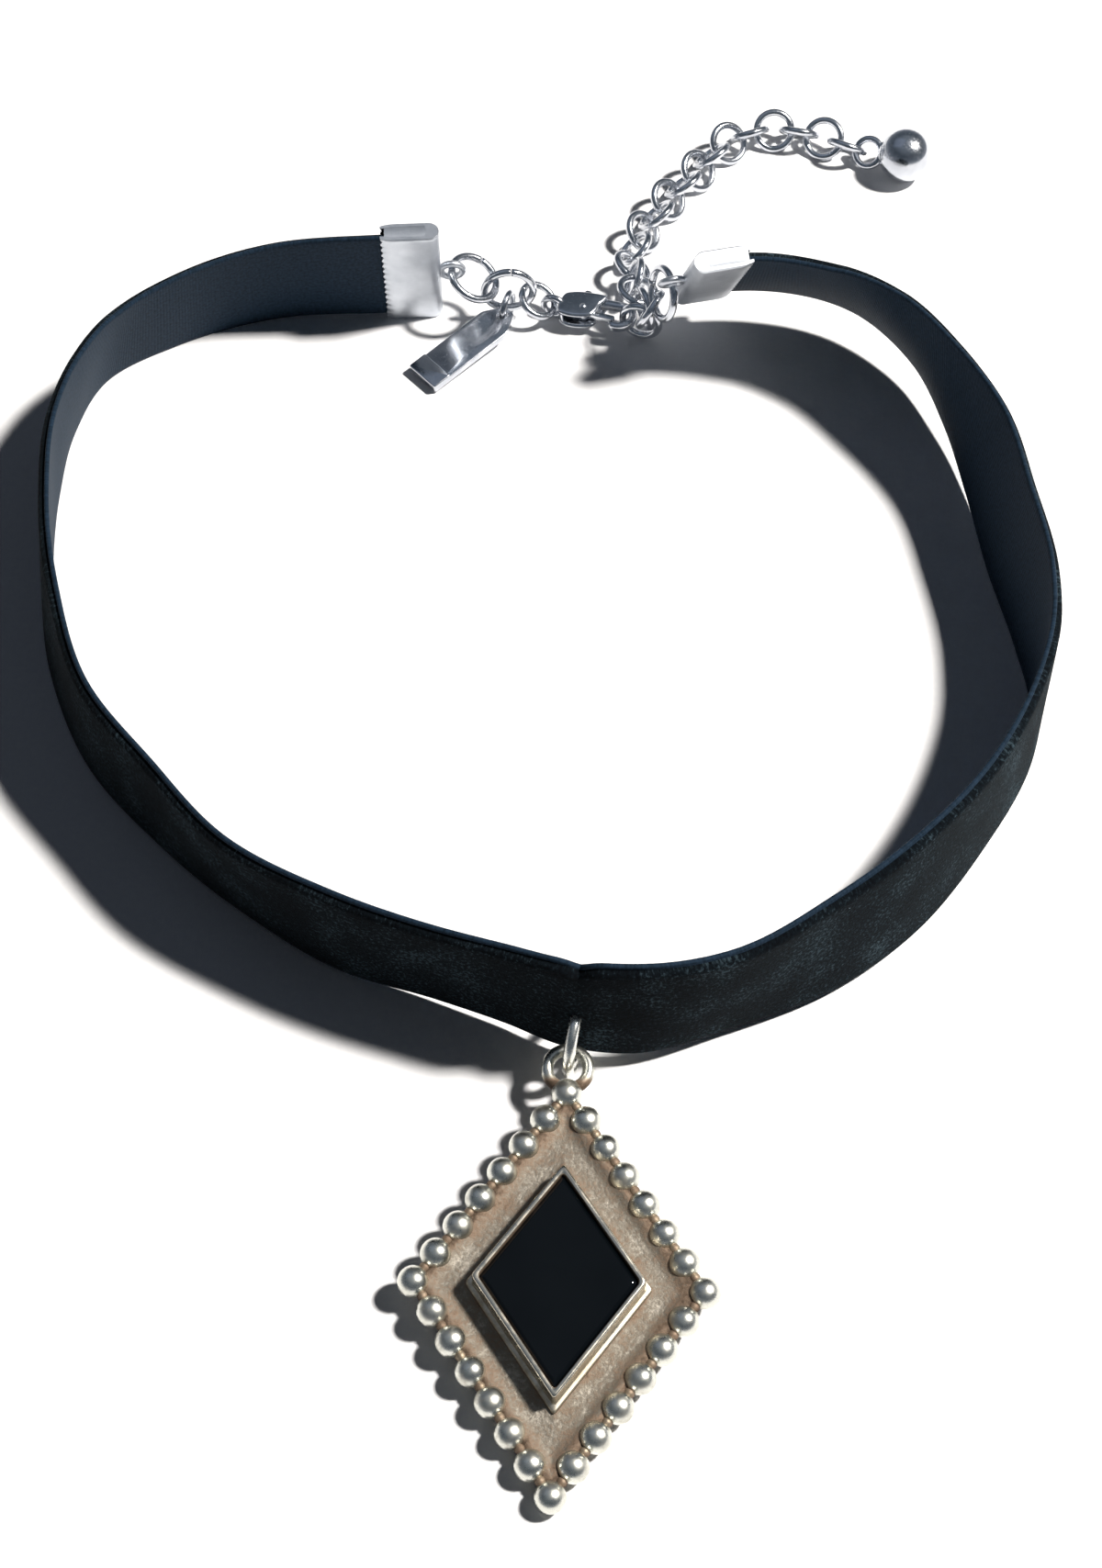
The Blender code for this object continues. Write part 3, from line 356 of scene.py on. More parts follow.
def route_frames(distances):
    """Foot points, outward normals and up directions at distances along the ribbon."""
    reach = 0.3 * MM
    here = spline(KEYS, ROWS, distances)
    ahead = spline(KEYS, ROWS, distances + reach)
    behind = spline(KEYS, ROWS, distances - reach)
    tangent = (ahead - behind)[:, :2]
    tangent /= np.linalg.norm(tangent, axis=1)[:, None]
    zero, one = np.zeros(len(distances)), np.ones(len(distances))
    outward = np.stack([tangent[:, 1], -tangent[:, 0], zero], axis=1)
    upright = np.stack([zero, zero, one], axis=1)
    lean, lift = here[:, 2:3], here[:, 3:4]
    up = upright * np.cos(lean) - outward * np.sin(lean)
    normal = outward * np.cos(lean) + upright * np.sin(lean)
    rise = lift + 0.5 * RIBBON_THICKNESS * np.abs(np.sin(lean)) + FLOOR_GAP
    foot = np.concatenate([here[:, :2], rise], axis=1)
    return foot, normal, up


CREASE_DISTANCE = 165.43 * MM
print("ribbon route in mm:", round(float(KEYS[-1]) / MM, 1))

# %% [markdown]
# The ribbon's section
#
# Across the ribbon the outer face is pile, with a bare woven selvedge nearly half a millimetre
# wide at each edge, where the cloth is less than half as thick. The pile starts with a soft
# rounded shoulder and the back is flat. One closed outline holds all of that, and it is carried
# along the route. Near the middle the pendant's pull makes a crease, which is a dip in the
# outline's height and depth.

# %% Build the ribbon
SELVEDGE = 0.45 * MM
SELVEDGE_THICKNESS = 0.5 * MM
EDGE_CHAMFER = 0.12 * MM
CREASE_HALF_WIDTH = 1.5 * MM
CREASE_NOTCH = 1.5 * MM
CREASE_DEPTH = 0.5 * MM
CREASE_DETAIL = 3.0 * MM
RIPPLE_DEPTH = 0.10 * MM
RIPPLE_LENGTH = 3.1 * MM
LEAST_STEP = 0.02 * MM
ALONG_COUNT = 520
ACROSS_COUNT = 30


def section_outline():
    """Outline as (outward, height), up the front and down the back, and which faces are pile."""
    half = 0.5 * RIBBON_THICKNESS
    woven = SELVEDGE_THICKNESS - half
    shoulder = np.radians(np.linspace(0, 90, 5))
    step = half - woven
    bottom = np.stack([woven + step * np.sin(shoulder),
                       SELVEDGE + step * (1 - np.cos(shoulder))], axis=1)
    top = bottom[::-1] * [1, -1] + [0, RIBBON_WIDTH]
    face = np.stack([np.full(ACROSS_COUNT, half),
                     np.linspace(bottom[-1, 1], top[0, 1], ACROSS_COUNT + 2)[1:-1]], axis=1)
    low_edge = np.array([(-half + EDGE_CHAMFER, 0.0), (woven - EDGE_CHAMFER, 0.0),
                         (woven, EDGE_CHAMFER), (woven, 0.5 * SELVEDGE)])
    high_edge = low_edge[::-1] * [1, -1] + [0, RIBBON_WIDTH]
    back = np.stack([np.full(ACROSS_COUNT, -half),
                     np.linspace(RIBBON_WIDTH - EDGE_CHAMFER, EDGE_CHAMFER, ACROSS_COUNT)], axis=1)
    front = np.concatenate([bottom, face, top])
    outline = np.concatenate([low_edge, front, high_edge, back])
    pile = np.zeros(len(outline), dtype=int)
    first = len(low_edge)
    pile[first:first + len(front) - 1] = 1
    return outline, pile


def ribbon_points(distances, outline):
    """The outline carried along: foot + normal x outward + up x height, less the crease."""
    foot, normal, up = route_frames(distances)
    pull = np.exp(-((distances - CREASE_DISTANCE) / CREASE_HALF_WIDTH) ** 2)[:, None]
    sharp = np.exp(-np.abs(distances - CREASE_DISTANCE) / (0.6 * CREASE_HALF_WIDTH))[:, None]
    outward, height = outline[:, 0][None, :], outline[:, 1][None, :]
    share = height / RIBBON_WIDTH
    lower = share * CREASE_NOTCH * (0.5 * pull + 0.5 * sharp)
    sink = share * CREASE_DEPTH * (0.4 * pull + 0.6 * sharp)
    wave = RIPPLE_DEPTH * np.sin(distances / RIPPLE_LENGTH)[:, None] * np.sin(math.pi * share)
    out = outward - sink + wave
    return (foot[:, None, :] + normal[:, None, :] * out[..., None]
            + up[:, None, :] * (height - lower)[..., None])


def build_ribbon():
    """The whole ribbon as one closed sheet with a UV map in millimetres."""
    outline, pile = section_outline()
    even = np.linspace(0.0, KEYS[-1], ALONG_COUNT)
    close = CREASE_DISTANCE + CREASE_DETAIL * np.linspace(-1, 1, 41) ** 3
    distances = np.sort(np.concatenate([even, close]))
    distances = distances[np.concatenate([[True], np.diff(distances) > LEAST_STEP])]
    points = ribbon_points(distances, outline)
    rows, columns = points.shape[:2]
    kinds = np.concatenate([np.tile(pile, rows - 1), [0, 0]])
    ribbon = make_piece("velvet_band", *shell(points, close_rows=False), [SATIN, VELVET],
                        faces_material=kinds)
    uv = ribbon.data.uv_layers.new(name="ribbon_mm")
    along = np.repeat(distances, columns) / MM
    across = np.tile(outline[:, 1], rows) / MM
    corners = np.zeros(len(ribbon.data.loops), dtype=np.int32)
    ribbon.data.loops.foreach_get("vertex_index", corners)
    uv.data.foreach_set("uv", np.stack([along[corners], across[corners]], axis=1).ravel())
    turn_outward(ribbon)
    dress(ribbon, "velvet", "velvet_ribbon")
    return ribbon


RIBBON = build_ribbon()
print("ribbon faces:", len(RIBBON.data.polygons))

# %% [markdown]
# Nickel plate
#
# The clasp, clamps and chain are brass or zinc under bright nickel. Nickel is a slightly warm
# grey metal, smooth enough for mirror highlights, with fine handling scratches that soften
# them. A metal keeps the default IOR, and its colour is its reflection.

# %% Nickel plate
def nickel_plate(name, shade, roughness, grain_mm):
    """Bright nickel with a faint cloudiness and scratches of the given spacing."""
    material, tree, shader = start_material(name, Metallic=1.0)
    place = add(tree, "TexCoord").outputs["Object"]
    cloud = add(tree, "TexNoise", Vector=place, Scale=1 / (3.0 * MM), Detail=3.0)
    scratch = add(tree, "TexNoise", Vector=place, Scale=1 / (grain_mm * MM), Detail=4.0)
    tone = ramp(tree, cloud, (0.3, shade[0]), (0.7, shade[1]))
    rough = ramp(tree, scratch, (0.35, roughness), (0.75, roughness + 0.14))
    bump = add(tree, "Bump", Strength=0.08, Distance=0.02 * MM, Height=scratch)
    feed(shader, Base_Color=tone, Roughness=rough, Normal=bump)
    return material


NICKEL = nickel_plate("bright_nickel_plate", ("#b9bdc4", "#dcdfe4"), 0.14, 0.25)
SATIN_NICKEL = nickel_plate("brushed_nickel_sheet", ("#babfc6", "#d2d6dc"), 0.36, 0.12)
RING_SILVER = nickel_plate("polished_silver_wire", ("#d6d6cf", "#efefe8"), 0.20, 0.3)
print("made", NICKEL.name, "and", SATIN_NICKEL.name)

# %% [markdown]
# Rings and links
#
# A jump ring is a turn of round wire, cut and closed, and a chain link is the same but
# soldered. A torus is a circle carried round a circle, and its place is read from the ring's
# own solid: the mean of its points is its centre and the direction in which they spread least
# is its axis.

# %% Build the rings
RING_STEPS = 72
WIRE_STEPS = 20
RING_SEAM = 0.10


def ring_place(node):
    """Centre, two directions in the ring's plane, and its axis, from the solid's points."""
    mesh = bpy.data.objects[node].data
    points = np.zeros(len(mesh.vertices) * 3)
    mesh.vertices.foreach_get("co", points)
    points = np.unique(points.reshape(-1, 3).round(8), axis=0)
    centre = points.mean(axis=0)
    _, _, directions = np.linalg.svd(points - centre)
    return centre, *directions


def torus_grid(place, radius, wire, gap=0.0):
    """Points of a torus: centre + circle x (radius + wire cosine) + axis x wire sine.

    place is the centre, two directions in the plane and the axis, and gap leaves that part of
    a turn open, as in a cut ring.
    """
    centre, first, second, axis = place
    turn = np.linspace(gap / 2, 2 * math.pi - gap / 2, RING_STEPS, endpoint=gap > 0)[:, None, None]
    roll = np.linspace(0, 2 * math.pi, WIRE_STEPS, endpoint=False)[:, None]
    around = np.cos(turn) * first + np.sin(turn) * second
    return centre + around * (radius + 0.5 * wire * np.cos(roll)) + 0.5 * wire * np.sin(roll) * axis


def build_ring(node, radius, wire, material, slot="nickel", cut=False):
    """Round wire in a ring solid's place; a cut ring shows the seam where its ends meet."""
    gap = RING_SEAM * wire / radius if cut else 0.0
    grid = torus_grid(ring_place(node), radius, wire, gap)
    closed_piece(node + "_wire", shell(grid, close_rows=not cut), material, slot, node)


LINKS = [f"extender_link_{number:02d}" for number in range(1, 20)]
for link in LINKS:
    build_ring(link, 2.325 * MM, 0.92 * MM, NICKEL)
for ring in ("left_jump_ring", "tag_ring", "right_jump_ring"):
    build_ring(ring, 3.0 * MM, 0.98 * MM, NICKEL, cut=True)
build_ring("clasp_ring", 2.25 * MM, 0.88 * MM, NICKEL, cut=True)
build_ring("tag_link", 1.9 * MM, 0.78 * MM, NICKEL)
build_ring("pendant_jump_ring", 3.8 * MM, 1.2 * MM, RING_SILVER, slot="antique_silver", cut=True)
print("rings and links:", len(LINKS) + 6)

# %% [markdown]
# Slabs and local places
#
# The clamps, the tag and the clasp are flat shapes with a thickness and softened edges. A slab
# is an outline repeated at several heights: near the top and the bottom it steps inward along a
# quarter circle, which rounds the edge. Each piece is drawn flat about its own origin and then
# placed by three directions, which come from the solid's own frame.


# %% Slab and place helpers
SLAB_EDGE_ROWS = 4


def place_of(origin, first, second):
    """A place: an origin, two directions and the one at right angles to both."""
    return origin, first, second, np.cross(first, second)


def placed(shape, place):
    """A local shape moved into the model: origin + x first + y second + z third."""
    points, faces = shape
    return place[0] + points @ np.stack(place[1:]), faces


def raised(flat, heights):
    """Rows of flat points, each row at its own height."""
    heights = np.broadcast_to(np.asarray(heights)[:, None, None], (*flat.shape[:2], 1))
    return np.concatenate([flat, heights], axis=2)


def inward(outline):
    """Unit directions into an anticlockwise outline, square to the line past each point."""
    along = np.roll(outline, -1, axis=0) - np.roll(outline, 1, axis=0)
    along /= np.linalg.norm(along, axis=1)[:, None]
    return np.stack([-along[:, 1], along[:, 0]], axis=1)


def slab(outline, low, high, edge):
    """A slab from low to high whose edges follow a quarter circle of radius edge."""
    turn = np.radians(np.linspace(0, 90, SLAB_EDGE_ROWS))
    inset, rise = edge * (1 - np.sin(turn)), edge * (1 - np.cos(turn))
    flat = outline + inward(outline) * np.concatenate([inset, inset[::-1]])[:, None, None]
    return shell(raised(flat, np.concatenate([low + rise, high - rise[::-1]])), close_rows=False)


def merge(parts):
    """Several (points, faces) as one."""
    points, faces, first = [], [], 0
    for some, corners in parts:
        points.append(some)
        faces += [[c + first for c in face] for face in corners]
        first += len(some)
    return np.concatenate(points), faces


def round_corners(corners, radius, steps=5):
    """An outline with each corner replaced by a Bezier arc that starts radius away."""
    corners = np.asarray(corners, dtype=float)
    sides = np.roll(corners, -1, axis=0) - corners
    ahead = sides / np.linalg.norm(sides, axis=1)[:, None]
    back = -np.roll(ahead, 1, axis=0)
    t = np.linspace(0, 1, steps)[None, :, None]
    start, end = corners + back * radius, corners + ahead * radius
    curve = (1 - t) ** 2 * start[:, None] + 2 * t * (1 - t) * corners[:, None] + t**2 * end[:, None]
    return curve.reshape(-1, 2)


def circle(radius, count, centre=(0.0, 0.0), start=0.0, sweep=2 * math.pi, closed=False):
    """Points on a circle or an arc, anticlockwise for a positive sweep."""
    turn = start + np.linspace(0, sweep, count, endpoint=not closed)
    return np.stack([centre[0] + radius * np.cos(turn), centre[1] + radius * np.sin(turn)], axis=1)


# %% [markdown]
# Ribbon clamps
#
# A ribbon clamp is one folded piece of plated sheet. It wraps the ribbon's raw end and is
# squeezed until its toothed lips bite. Its section is a U with a rounded fold on the eye's
# side and lips that bend inward, carried up the ribbon's width. The lips' edge is scalloped
# by a cosine, which makes the teeth. At each end a small tongue is folded over the raw edge.

# %% Build the clamps
CLAMP_LENGTH = 7.0 * MM
CLAMP_HALF = 1.3 * MM
CLAMP_SHEET = 0.45 * MM
CLAMP_HALF_HEIGHT = 8.3 * MM
CLAMP_ROWS = 121
CLAMP_TAPER = 0.35 * MM
CLAMP_BACK = 1.31 * MM
CLAMP_MOUTH = CLAMP_BACK + CLAMP_LENGTH
CLAMP_EYE = 1.33 * MM
CLAMP_EYE_WIRE = 0.85 * MM
COVER_FRONT = CLAMP_MOUTH - 0.5 * MM
COVER_BACK = CLAMP_MOUTH - 5.6 * MM
COVER_GAP = 0.02 * MM
COVER_OVERLAP = 0.05 * MM
TOOTH_PITCH = 1.1 * MM
TOOTH_DEPTH = 0.22 * MM
TOOTH_REACH = 0.6 * MM
CRISP_SHEET = 35
X_AXIS, Y_AXIS, Z_AXIS = np.eye(3)
LEFT_CLAMP = place_of(from_home(-12.077, 69.139, 8.396),
                      np.array([-0.99863, -0.05234, 0.0]), np.array([0.0100, -0.1905, 0.9816]))
RIGHT_CLAMP = place_of(from_home(14.377, 63.104, 12.469),
                       np.array([0.97815, 0.20791, 0.0]), np.array([0.1102, -0.5183, 0.8480]))


def clamp_section():
    """Half of the U from the mouth's lip round the fold, mirrored into the other half."""
    mouth = CLAMP_MOUTH
    lip = [(mouth, 0.64 * MM), (mouth, 0.98 * MM), (mouth - 0.35 * MM, 1.12 * MM),
           (mouth - 0.9 * MM, 1.24 * MM), (mouth - 1.5 * MM, CLAMP_HALF),
           (mouth - 3.2 * MM, CLAMP_HALF)]
    outer = circle(CLAMP_HALF, 9, (CLAMP_BACK + CLAMP_HALF, 0.0), math.pi / 2, math.pi / 2)
    top = np.concatenate([lip, outer])
    hollow = CLAMP_HALF - CLAMP_SHEET
    inner_lip = np.array([(mouth - 0.5 * MM, -0.66 * MM), (mouth - 1.3 * MM, -hollow),
                          (mouth - 3.0 * MM, -hollow)])
    deep = np.array([(mouth - 5.3 * MM, -hollow), (mouth - 5.5 * MM, 0.0),
                     (mouth - 5.3 * MM, hollow)])
    return np.concatenate([top, top[::-1][1:] * [1, -1], inner_lip, deep,
                           inner_lip[::-1] * [1, -1]])


def build_clamp(node, place):
    """The U carried up the ribbon's width, with a scalloped mouth, end covers and a wire eye."""
    section = clamp_section()
    heights = np.linspace(-CLAMP_HALF_HEIGHT, CLAMP_HALF_HEIGHT, CLAMP_ROWS)[:, None]
    near_mouth = np.clip((section[:, 0] - CLAMP_MOUTH + TOOTH_REACH) / TOOTH_REACH, 0, 1)
    bite = TOOTH_DEPTH * (0.5 + 0.5 * np.cos(2 * math.pi * heights / TOOTH_PITCH))
    along = section[:, 0] - bite * near_mouth
    corner = np.clip((np.abs(heights) - CLAMP_HALF_HEIGHT + CLAMP_TAPER) / CLAMP_TAPER, 0, 1) ** 2
    out = section[:, 1] * (1 - 0.14 * corner)
    grid = np.stack([along, np.broadcast_to(heights, along.shape), out], axis=-1)
    eye = torus_grid((np.zeros(3), X_AXIS, Y_AXIS, Z_AXIS), CLAMP_EYE, CLAMP_EYE_WIRE)
    shells = [shell(grid, close_rows=False), shell(eye)]
    wide = CLAMP_HALF - CLAMP_SHEET + COVER_OVERLAP
    cover = np.array([(COVER_BACK, -wide), (COVER_FRONT, -wide), (COVER_FRONT, wide),
                      (COVER_BACK, wide)])
    for side in (-1, 1):
        points, faces = slab(cover, RIBBON_WIDTH / 2 + COVER_GAP, CLAMP_HALF_HEIGHT - COVER_GAP,
                             0.05 * MM)
        shells.append((points[:, [0, 2, 1]] * [1, side, 1], faces))
    closed_piece(node + "_sheet", placed(merge(shells), place), SATIN_NICKEL, "nickel", node,
                 crisp=CRISP_SHEET)


build_clamp("ribbon_clamp_left", LEFT_CLAMP)
build_clamp("ribbon_clamp_right", RIGHT_CLAMP)
print("clamps: 2, teeth on each lip:", round(2 * CLAMP_HALF_HEIGHT / TOOTH_PITCH))

# %% [markdown]
# Bare tag
#
# The tag is a stamped plate on a small ring, with a strip across its far end that stands a
# little proud. A plate with a hole closes on itself like a flattened ring:
# its rows run from the hole out over the top, round the rim and back underneath.

# %% Build the tag
TAG_PLACE = place_of(from_home(-5.996, 67.060, 2.320), unit([-0.73762, -0.66416, -0.12167]),
                     unit([0.66913, -0.74314, 0.0]))
TAG_FAR = 13.15 * MM
TAG_EDGE = 1.25 * MM
TAG_HALF = 2.4 * MM
TAG_NECK = 0.84 * MM
TAG_THICK = 0.45 * MM
TAG_STRIP = 2.6 * MM
TAG_STEP = 0.25 * MM
TAG_HOLE = 0.75 * MM


def pierced_plate(outline, hole, half, edge):
    """Rows from the hole over the top, round the rim by a half circle and back underneath."""
    angle = np.arctan2(outline[:, 1], outline[:, 0])
    round_hole = hole * np.stack([np.cos(angle), np.sin(angle)], axis=1)
    step = inward(outline) * edge
    shares, turns = np.array([0.0, 0.5, 1.0]), np.radians([60, 30, 0, -30, -60])
    across = round_hole + (outline + step - round_hole) * shares[:, None, None]
    rim = outline + step * (1 - np.cos(turns))[:, None, None]
    rise = edge * np.sin(turns) + np.where(turns > 0, half - edge, edge - half)
    heights = np.concatenate([np.full(3, half), rise, np.full(3, -half)])
    return raised(np.concatenate([across, rim, across[::-1]]), heights)


def build_tag():
    """A pierced plate with a raised strip at its far end."""
    corners = [(-TAG_EDGE, -TAG_NECK), (TAG_EDGE, -TAG_HALF), (TAG_FAR, -TAG_HALF),
               (TAG_FAR, TAG_HALF), (TAG_EDGE, TAG_HALF), (-TAG_EDGE, TAG_NECK)]
    outline = round_corners(corners, 0.35 * MM)
    plate = shell(pierced_plate(outline, TAG_HOLE, TAG_THICK, 0.15 * MM))
    bar = round_corners([(TAG_FAR - TAG_STRIP, -TAG_HALF), (TAG_FAR, -TAG_HALF),
                         (TAG_FAR, TAG_HALF), (TAG_FAR - TAG_STRIP, TAG_HALF)], 0.3 * MM)
    strip = slab(bar, -TAG_THICK, TAG_THICK + TAG_STEP, 0.14 * MM)
    closed_piece("bare_tag_plate", placed(merge([plate, strip]), TAG_PLACE), NICKEL, "nickel",
                 "bare_tag", crisp=CRISP_SHEET)


build_tag()
print("tag in mm:", round((TAG_FAR + TAG_EDGE) / MM, 1), "by", 2 * TAG_HALF / MM)

# %% [markdown]
# End ball
#
# The extender ends in a hollow plated ball with a soldered eye. A sphere is a half circle
# turned about an axis; its rows run from pole to pole.

# %% Build the end ball
BALL_CENTRE = from_home(45.785, 94.808, 3.420)
BALL_RADIUS = 3.4 * MM
BALL_EYE = from_home(41.324, 96.667, 2.139)
BALL_EYE_AXIS = unit([-0.4409, -0.5952, 0.6718])
BALL_EYE_RADIUS = 1.75 * MM
BALL_EYE_WIRE = 0.88 * MM
POLE = 0.02


def sphere(centre, radius, rows, columns, flatten=1.0):
    """A sphere: centre + radius x (sine ring, cosine height), closed by small flat poles."""
    fall = np.linspace(POLE, math.pi - POLE, rows)[:, None]
    turn = np.linspace(0, 2 * math.pi, columns, endpoint=False)[None, :]
    ring = np.sin(fall) * radius
    grid = np.stack([centre[0] + ring * np.cos(turn), centre[1] + ring * np.sin(turn),
                     centre[2] + flatten * radius * np.cos(fall) + 0 * turn], axis=-1)
    return shell(grid, close_rows=False)


def build_ball():
    """The ball and its eye as one piece."""
    first = unit(BALL_EYE - BALL_CENTRE)
    first = unit(first - first.dot(BALL_EYE_AXIS) * BALL_EYE_AXIS)
    place = (BALL_EYE, first, np.cross(BALL_EYE_AXIS, first), BALL_EYE_AXIS)
    eye = torus_grid(place, BALL_EYE_RADIUS, BALL_EYE_WIRE)
    shape = merge([sphere(BALL_CENTRE, BALL_RADIUS, 48, 72), shell(eye)])
    closed_piece("end_ball_shell", shape, NICKEL, "nickel", "end_ball")


build_ball()
print("ball across in mm:", 2 * BALL_RADIUS / MM)

# %% [markdown]
# Lobster clasp
#
# The claw is cast: two cheeks with the lever between them, a tail eye and a hook with a thinner
# nose. A spring inside pushes the lever against the hook's tip. Each part of it is a slab with
# generously rounded edges, drawn about the pin. The lever is its own piece, because it turns.

# %% Build the clasp
CLASP_PLACE = place_of(from_home(5.007, 67.989, 2.332), unit([0.94034, -0.32378, 0.10453]),
                       unit([0.32557, 0.94552, 0.0]))
CLASP_NOSE = 3.6 * MM
CLASP_NOSE_INNER = 1.2 * MM
CLASP_NOSE_OUTER = 2.2 * MM
CLASP_TAIL = 4.9 * MM
CLASP_TAIL_EYE = 1.35 * MM
CLASP_TAIL_WIRE = 0.9 * MM
CHEEK_INNER = 0.6 * MM
CHEEK_OUTER = 1.2 * MM
RIVET_RADIUS = 0.55 * MM
RIVET_SINK = 0.28 * MM
HOOK_HALF = 0.6 * MM
LEVER_PIVOT = np.array([-0.9, -0.35, 0.0]) * MM
LEVER_HALF = 0.45 * MM
BARREL_RADIUS = 0.85 * MM
CRISP_CAST = 45


def smooth_outline(points, per_span=6):
    """A closed Catmull-Rom curve through a few points, given in millimetres."""
    points = np.array(points, dtype=float) * MM
    t = np.linspace(0, 1, per_span, endpoint=False)[None, :, None]
    a, b, c, d = (np.roll(points, k, axis=0)[:, None] for k in (1, 0, -1, -2))
    curve = 0.5 * (2 * b + (c - a) * t + (2 * a - 5 * b + 4 * c - d) * t**2
                   + (3 * b - a - 3 * c + d) * t**3)
    return curve.reshape(-1, 2)


def claw_parts():
    """Cheeks, tail block, hook, rivet heads and tail eye, in the clasp's own place."""
    cheek = smooth_outline([(-1.2, 2.3), (-3.0, 1.98), (-4.0, 1.2), (-4.0, -1.2), (-3.0, -1.98),
                            (-1.2, -2.0), (0.3, -1.5), (0.8, -0.6), (1.0, 0.7), (1.3, 1.2),
                            (1.3, 2.25)])
    tail = smooth_outline([(-3.1, 1.7), (-3.9, 1.1), (-3.9, -1.1), (-3.1, -1.7)])
    inner = circle(CLASP_NOSE_INNER, 17, (CLASP_NOSE, 0.0), math.pi / 2, -math.pi)
    outer = circle(CLASP_NOSE_OUTER, 21, (CLASP_NOSE, 0.0), math.radians(-103),
                   math.radians(193))
    start = np.array([(0.86, 2.27), (0.86, 1.0), (1.6, 1.16)]) * MM
    tip = np.array([(2.75, -1.2), (2.66, -1.55)]) * MM
    hook = np.concatenate([start, inner, tip, outer])
    rivets = [sphere(LEVER_PIVOT + side * (CHEEK_OUTER - RIVET_SINK) * Z_AXIS, RIVET_RADIUS, 12, 20)
              for side in (1, -1)]
    eye = torus_grid((-CLASP_TAIL * X_AXIS, X_AXIS, Z_AXIS, Y_AXIS), CLASP_TAIL_EYE,
                     CLASP_TAIL_WIRE)
    return [slab(cheek, CHEEK_INNER, CHEEK_OUTER, 0.35 * MM),
            slab(cheek, -CHEEK_OUTER, -CHEEK_INNER, 0.35 * MM),
            slab(tail, -CHEEK_INNER, CHEEK_INNER, 0.05 * MM),
            slab(hook, -HOOK_HALF, HOOK_HALF, 0.38 * MM), *rivets, shell(eye)]


def lever_parts():
    """Gate, thumb tab and barrel round the pin, drawn about the pin."""
    gate = round_corners(np.array([(0, -0.4), (4.1, -0.7), (4.1, 0.1), (0, 0.4)]) * MM, 0.25 * MM)
    tab = smooth_outline([(-0.1, 0), (0.05, 1.8), (0.1, 3.2), (-0.35, 3.58), (-0.85, 3.5),
                          (-0.95, 2.9), (-0.85, 1.5), (-0.8, 0)])
    return [slab(outline, -LEVER_HALF, LEVER_HALF, edge) for outline, edge in (
        (gate, 0.18 * MM), (tab, 0.2 * MM), (circle(BARREL_RADIUS, 28, closed=True), 0.1 * MM))]


def build_clasp():
    """The claw and its lever, each placed from the clasp's own directions."""
    closed_piece("clasp_claw", placed(merge(claw_parts()), CLASP_PLACE), NICKEL, "nickel",
                 "clasp_body", crisp=CRISP_CAST)
    points, faces = merge(lever_parts())
    closed_piece("clasp_gate", placed((points + LEVER_PIVOT, faces), CLASP_PLACE), NICKEL,
                 "nickel", "clasp_lever", body=LEVER, crisp=CRISP_CAST)


build_clasp()
clasp_length = CLASP_TAIL + CLASP_TAIL_EYE + CLASP_NOSE + CLASP_NOSE_OUTER
print("clasp length in mm:", round(clasp_length / MM, 1))

# %% [markdown]
# Antique silver
#
# The pendant is cast silver plate that was blackened and then polished. The beads and rims were
# rubbed bright, the flat ground keeps a sandy, matt cast skin, and brown oxide stays where the
# cloth can't reach: between the beads and at the foot of the bezel. How deep a point lies is
# stored on the mesh by its formula, so the patina follows the real recesses.

# %% Antique silver
def antique_silver(name, bright, dull, rough, cast_mm, cast_depth, grain=0.5):
    """Silver whose recesses, from the attribute patina, are brown and rough; grain mottles it."""
    material, tree, shader = start_material(name)
    place = add(tree, "TexCoord").outputs["Object"]
    grains = add(tree, "TexNoise", Vector=place, Scale=1 / (cast_mm * MM), Detail=5.0,
                 Roughness=0.7)
    stains = add(tree, "TexNoise", Vector=place, Scale=1 / (2.2 * MM), Detail=4.0)
    depth = add(tree, "Attribute", {"attribute_name": "patina"}).outputs["Fac"]
    uneven = add(tree, "Math", {"operation": "MULTIPLY_ADD"}, i0=stains, i1=0.7, i2=-0.35)
    grainy = add(tree, "Math", {"operation": "MULTIPLY_ADD"}, i0=grains, i1=grain, i2=uneven)
    oxide = add(tree, "Math", {"operation": "ADD", "use_clamp": True}, i0=depth, i1=grainy)
    metal = ramp(tree, oxide, (0.25, bright), (0.55, dull), (0.80, "#83705f"), (1.0, "#4f4032"))
    shine = ramp(tree, oxide, (0.3, 1.0), (0.7, 0.85), (1.0, 0.35))
    coarse = ramp(tree, oxide, (0.2, rough), (0.9, 0.75))
    bump = add(tree, "Bump", Strength=cast_depth, Distance=0.08 * MM, Height=grains)
    feed(shader, Base_Color=metal, Metallic=shine, Roughness=coarse, Normal=bump)
    return material


BEAD_SILVER = antique_silver("rubbed_silver_beads", "#dcdcd3", "#a8a294", 0.27, 0.5, 0.16)
GROUND_SILVER = antique_silver("cast_silver_ground", "#a8a297", "#7d766b", 0.48, 0.42, 1.0,
                               grain=0.9)
RIM_SILVER = antique_silver("rubbed_silver_rim", "#d6d0c2", "#a59a86", 0.22, 0.8, 0.10)
print("made", BEAD_SILVER.name, GROUND_SILVER.name, RIM_SILVER.name)

# %% [markdown]
# The pendant's plate
#
# The ground is a lozenge plate with softened edges. Its top isn't quite flat: casting leaves a
# sandy skin about a hundredth of a millimetre deep, and the metal rises a little towards the
# beads and the bezel. One parameter runs outward from the middle and one runs round, so the
# lozenge's rows are copies of its rim at smaller shares.

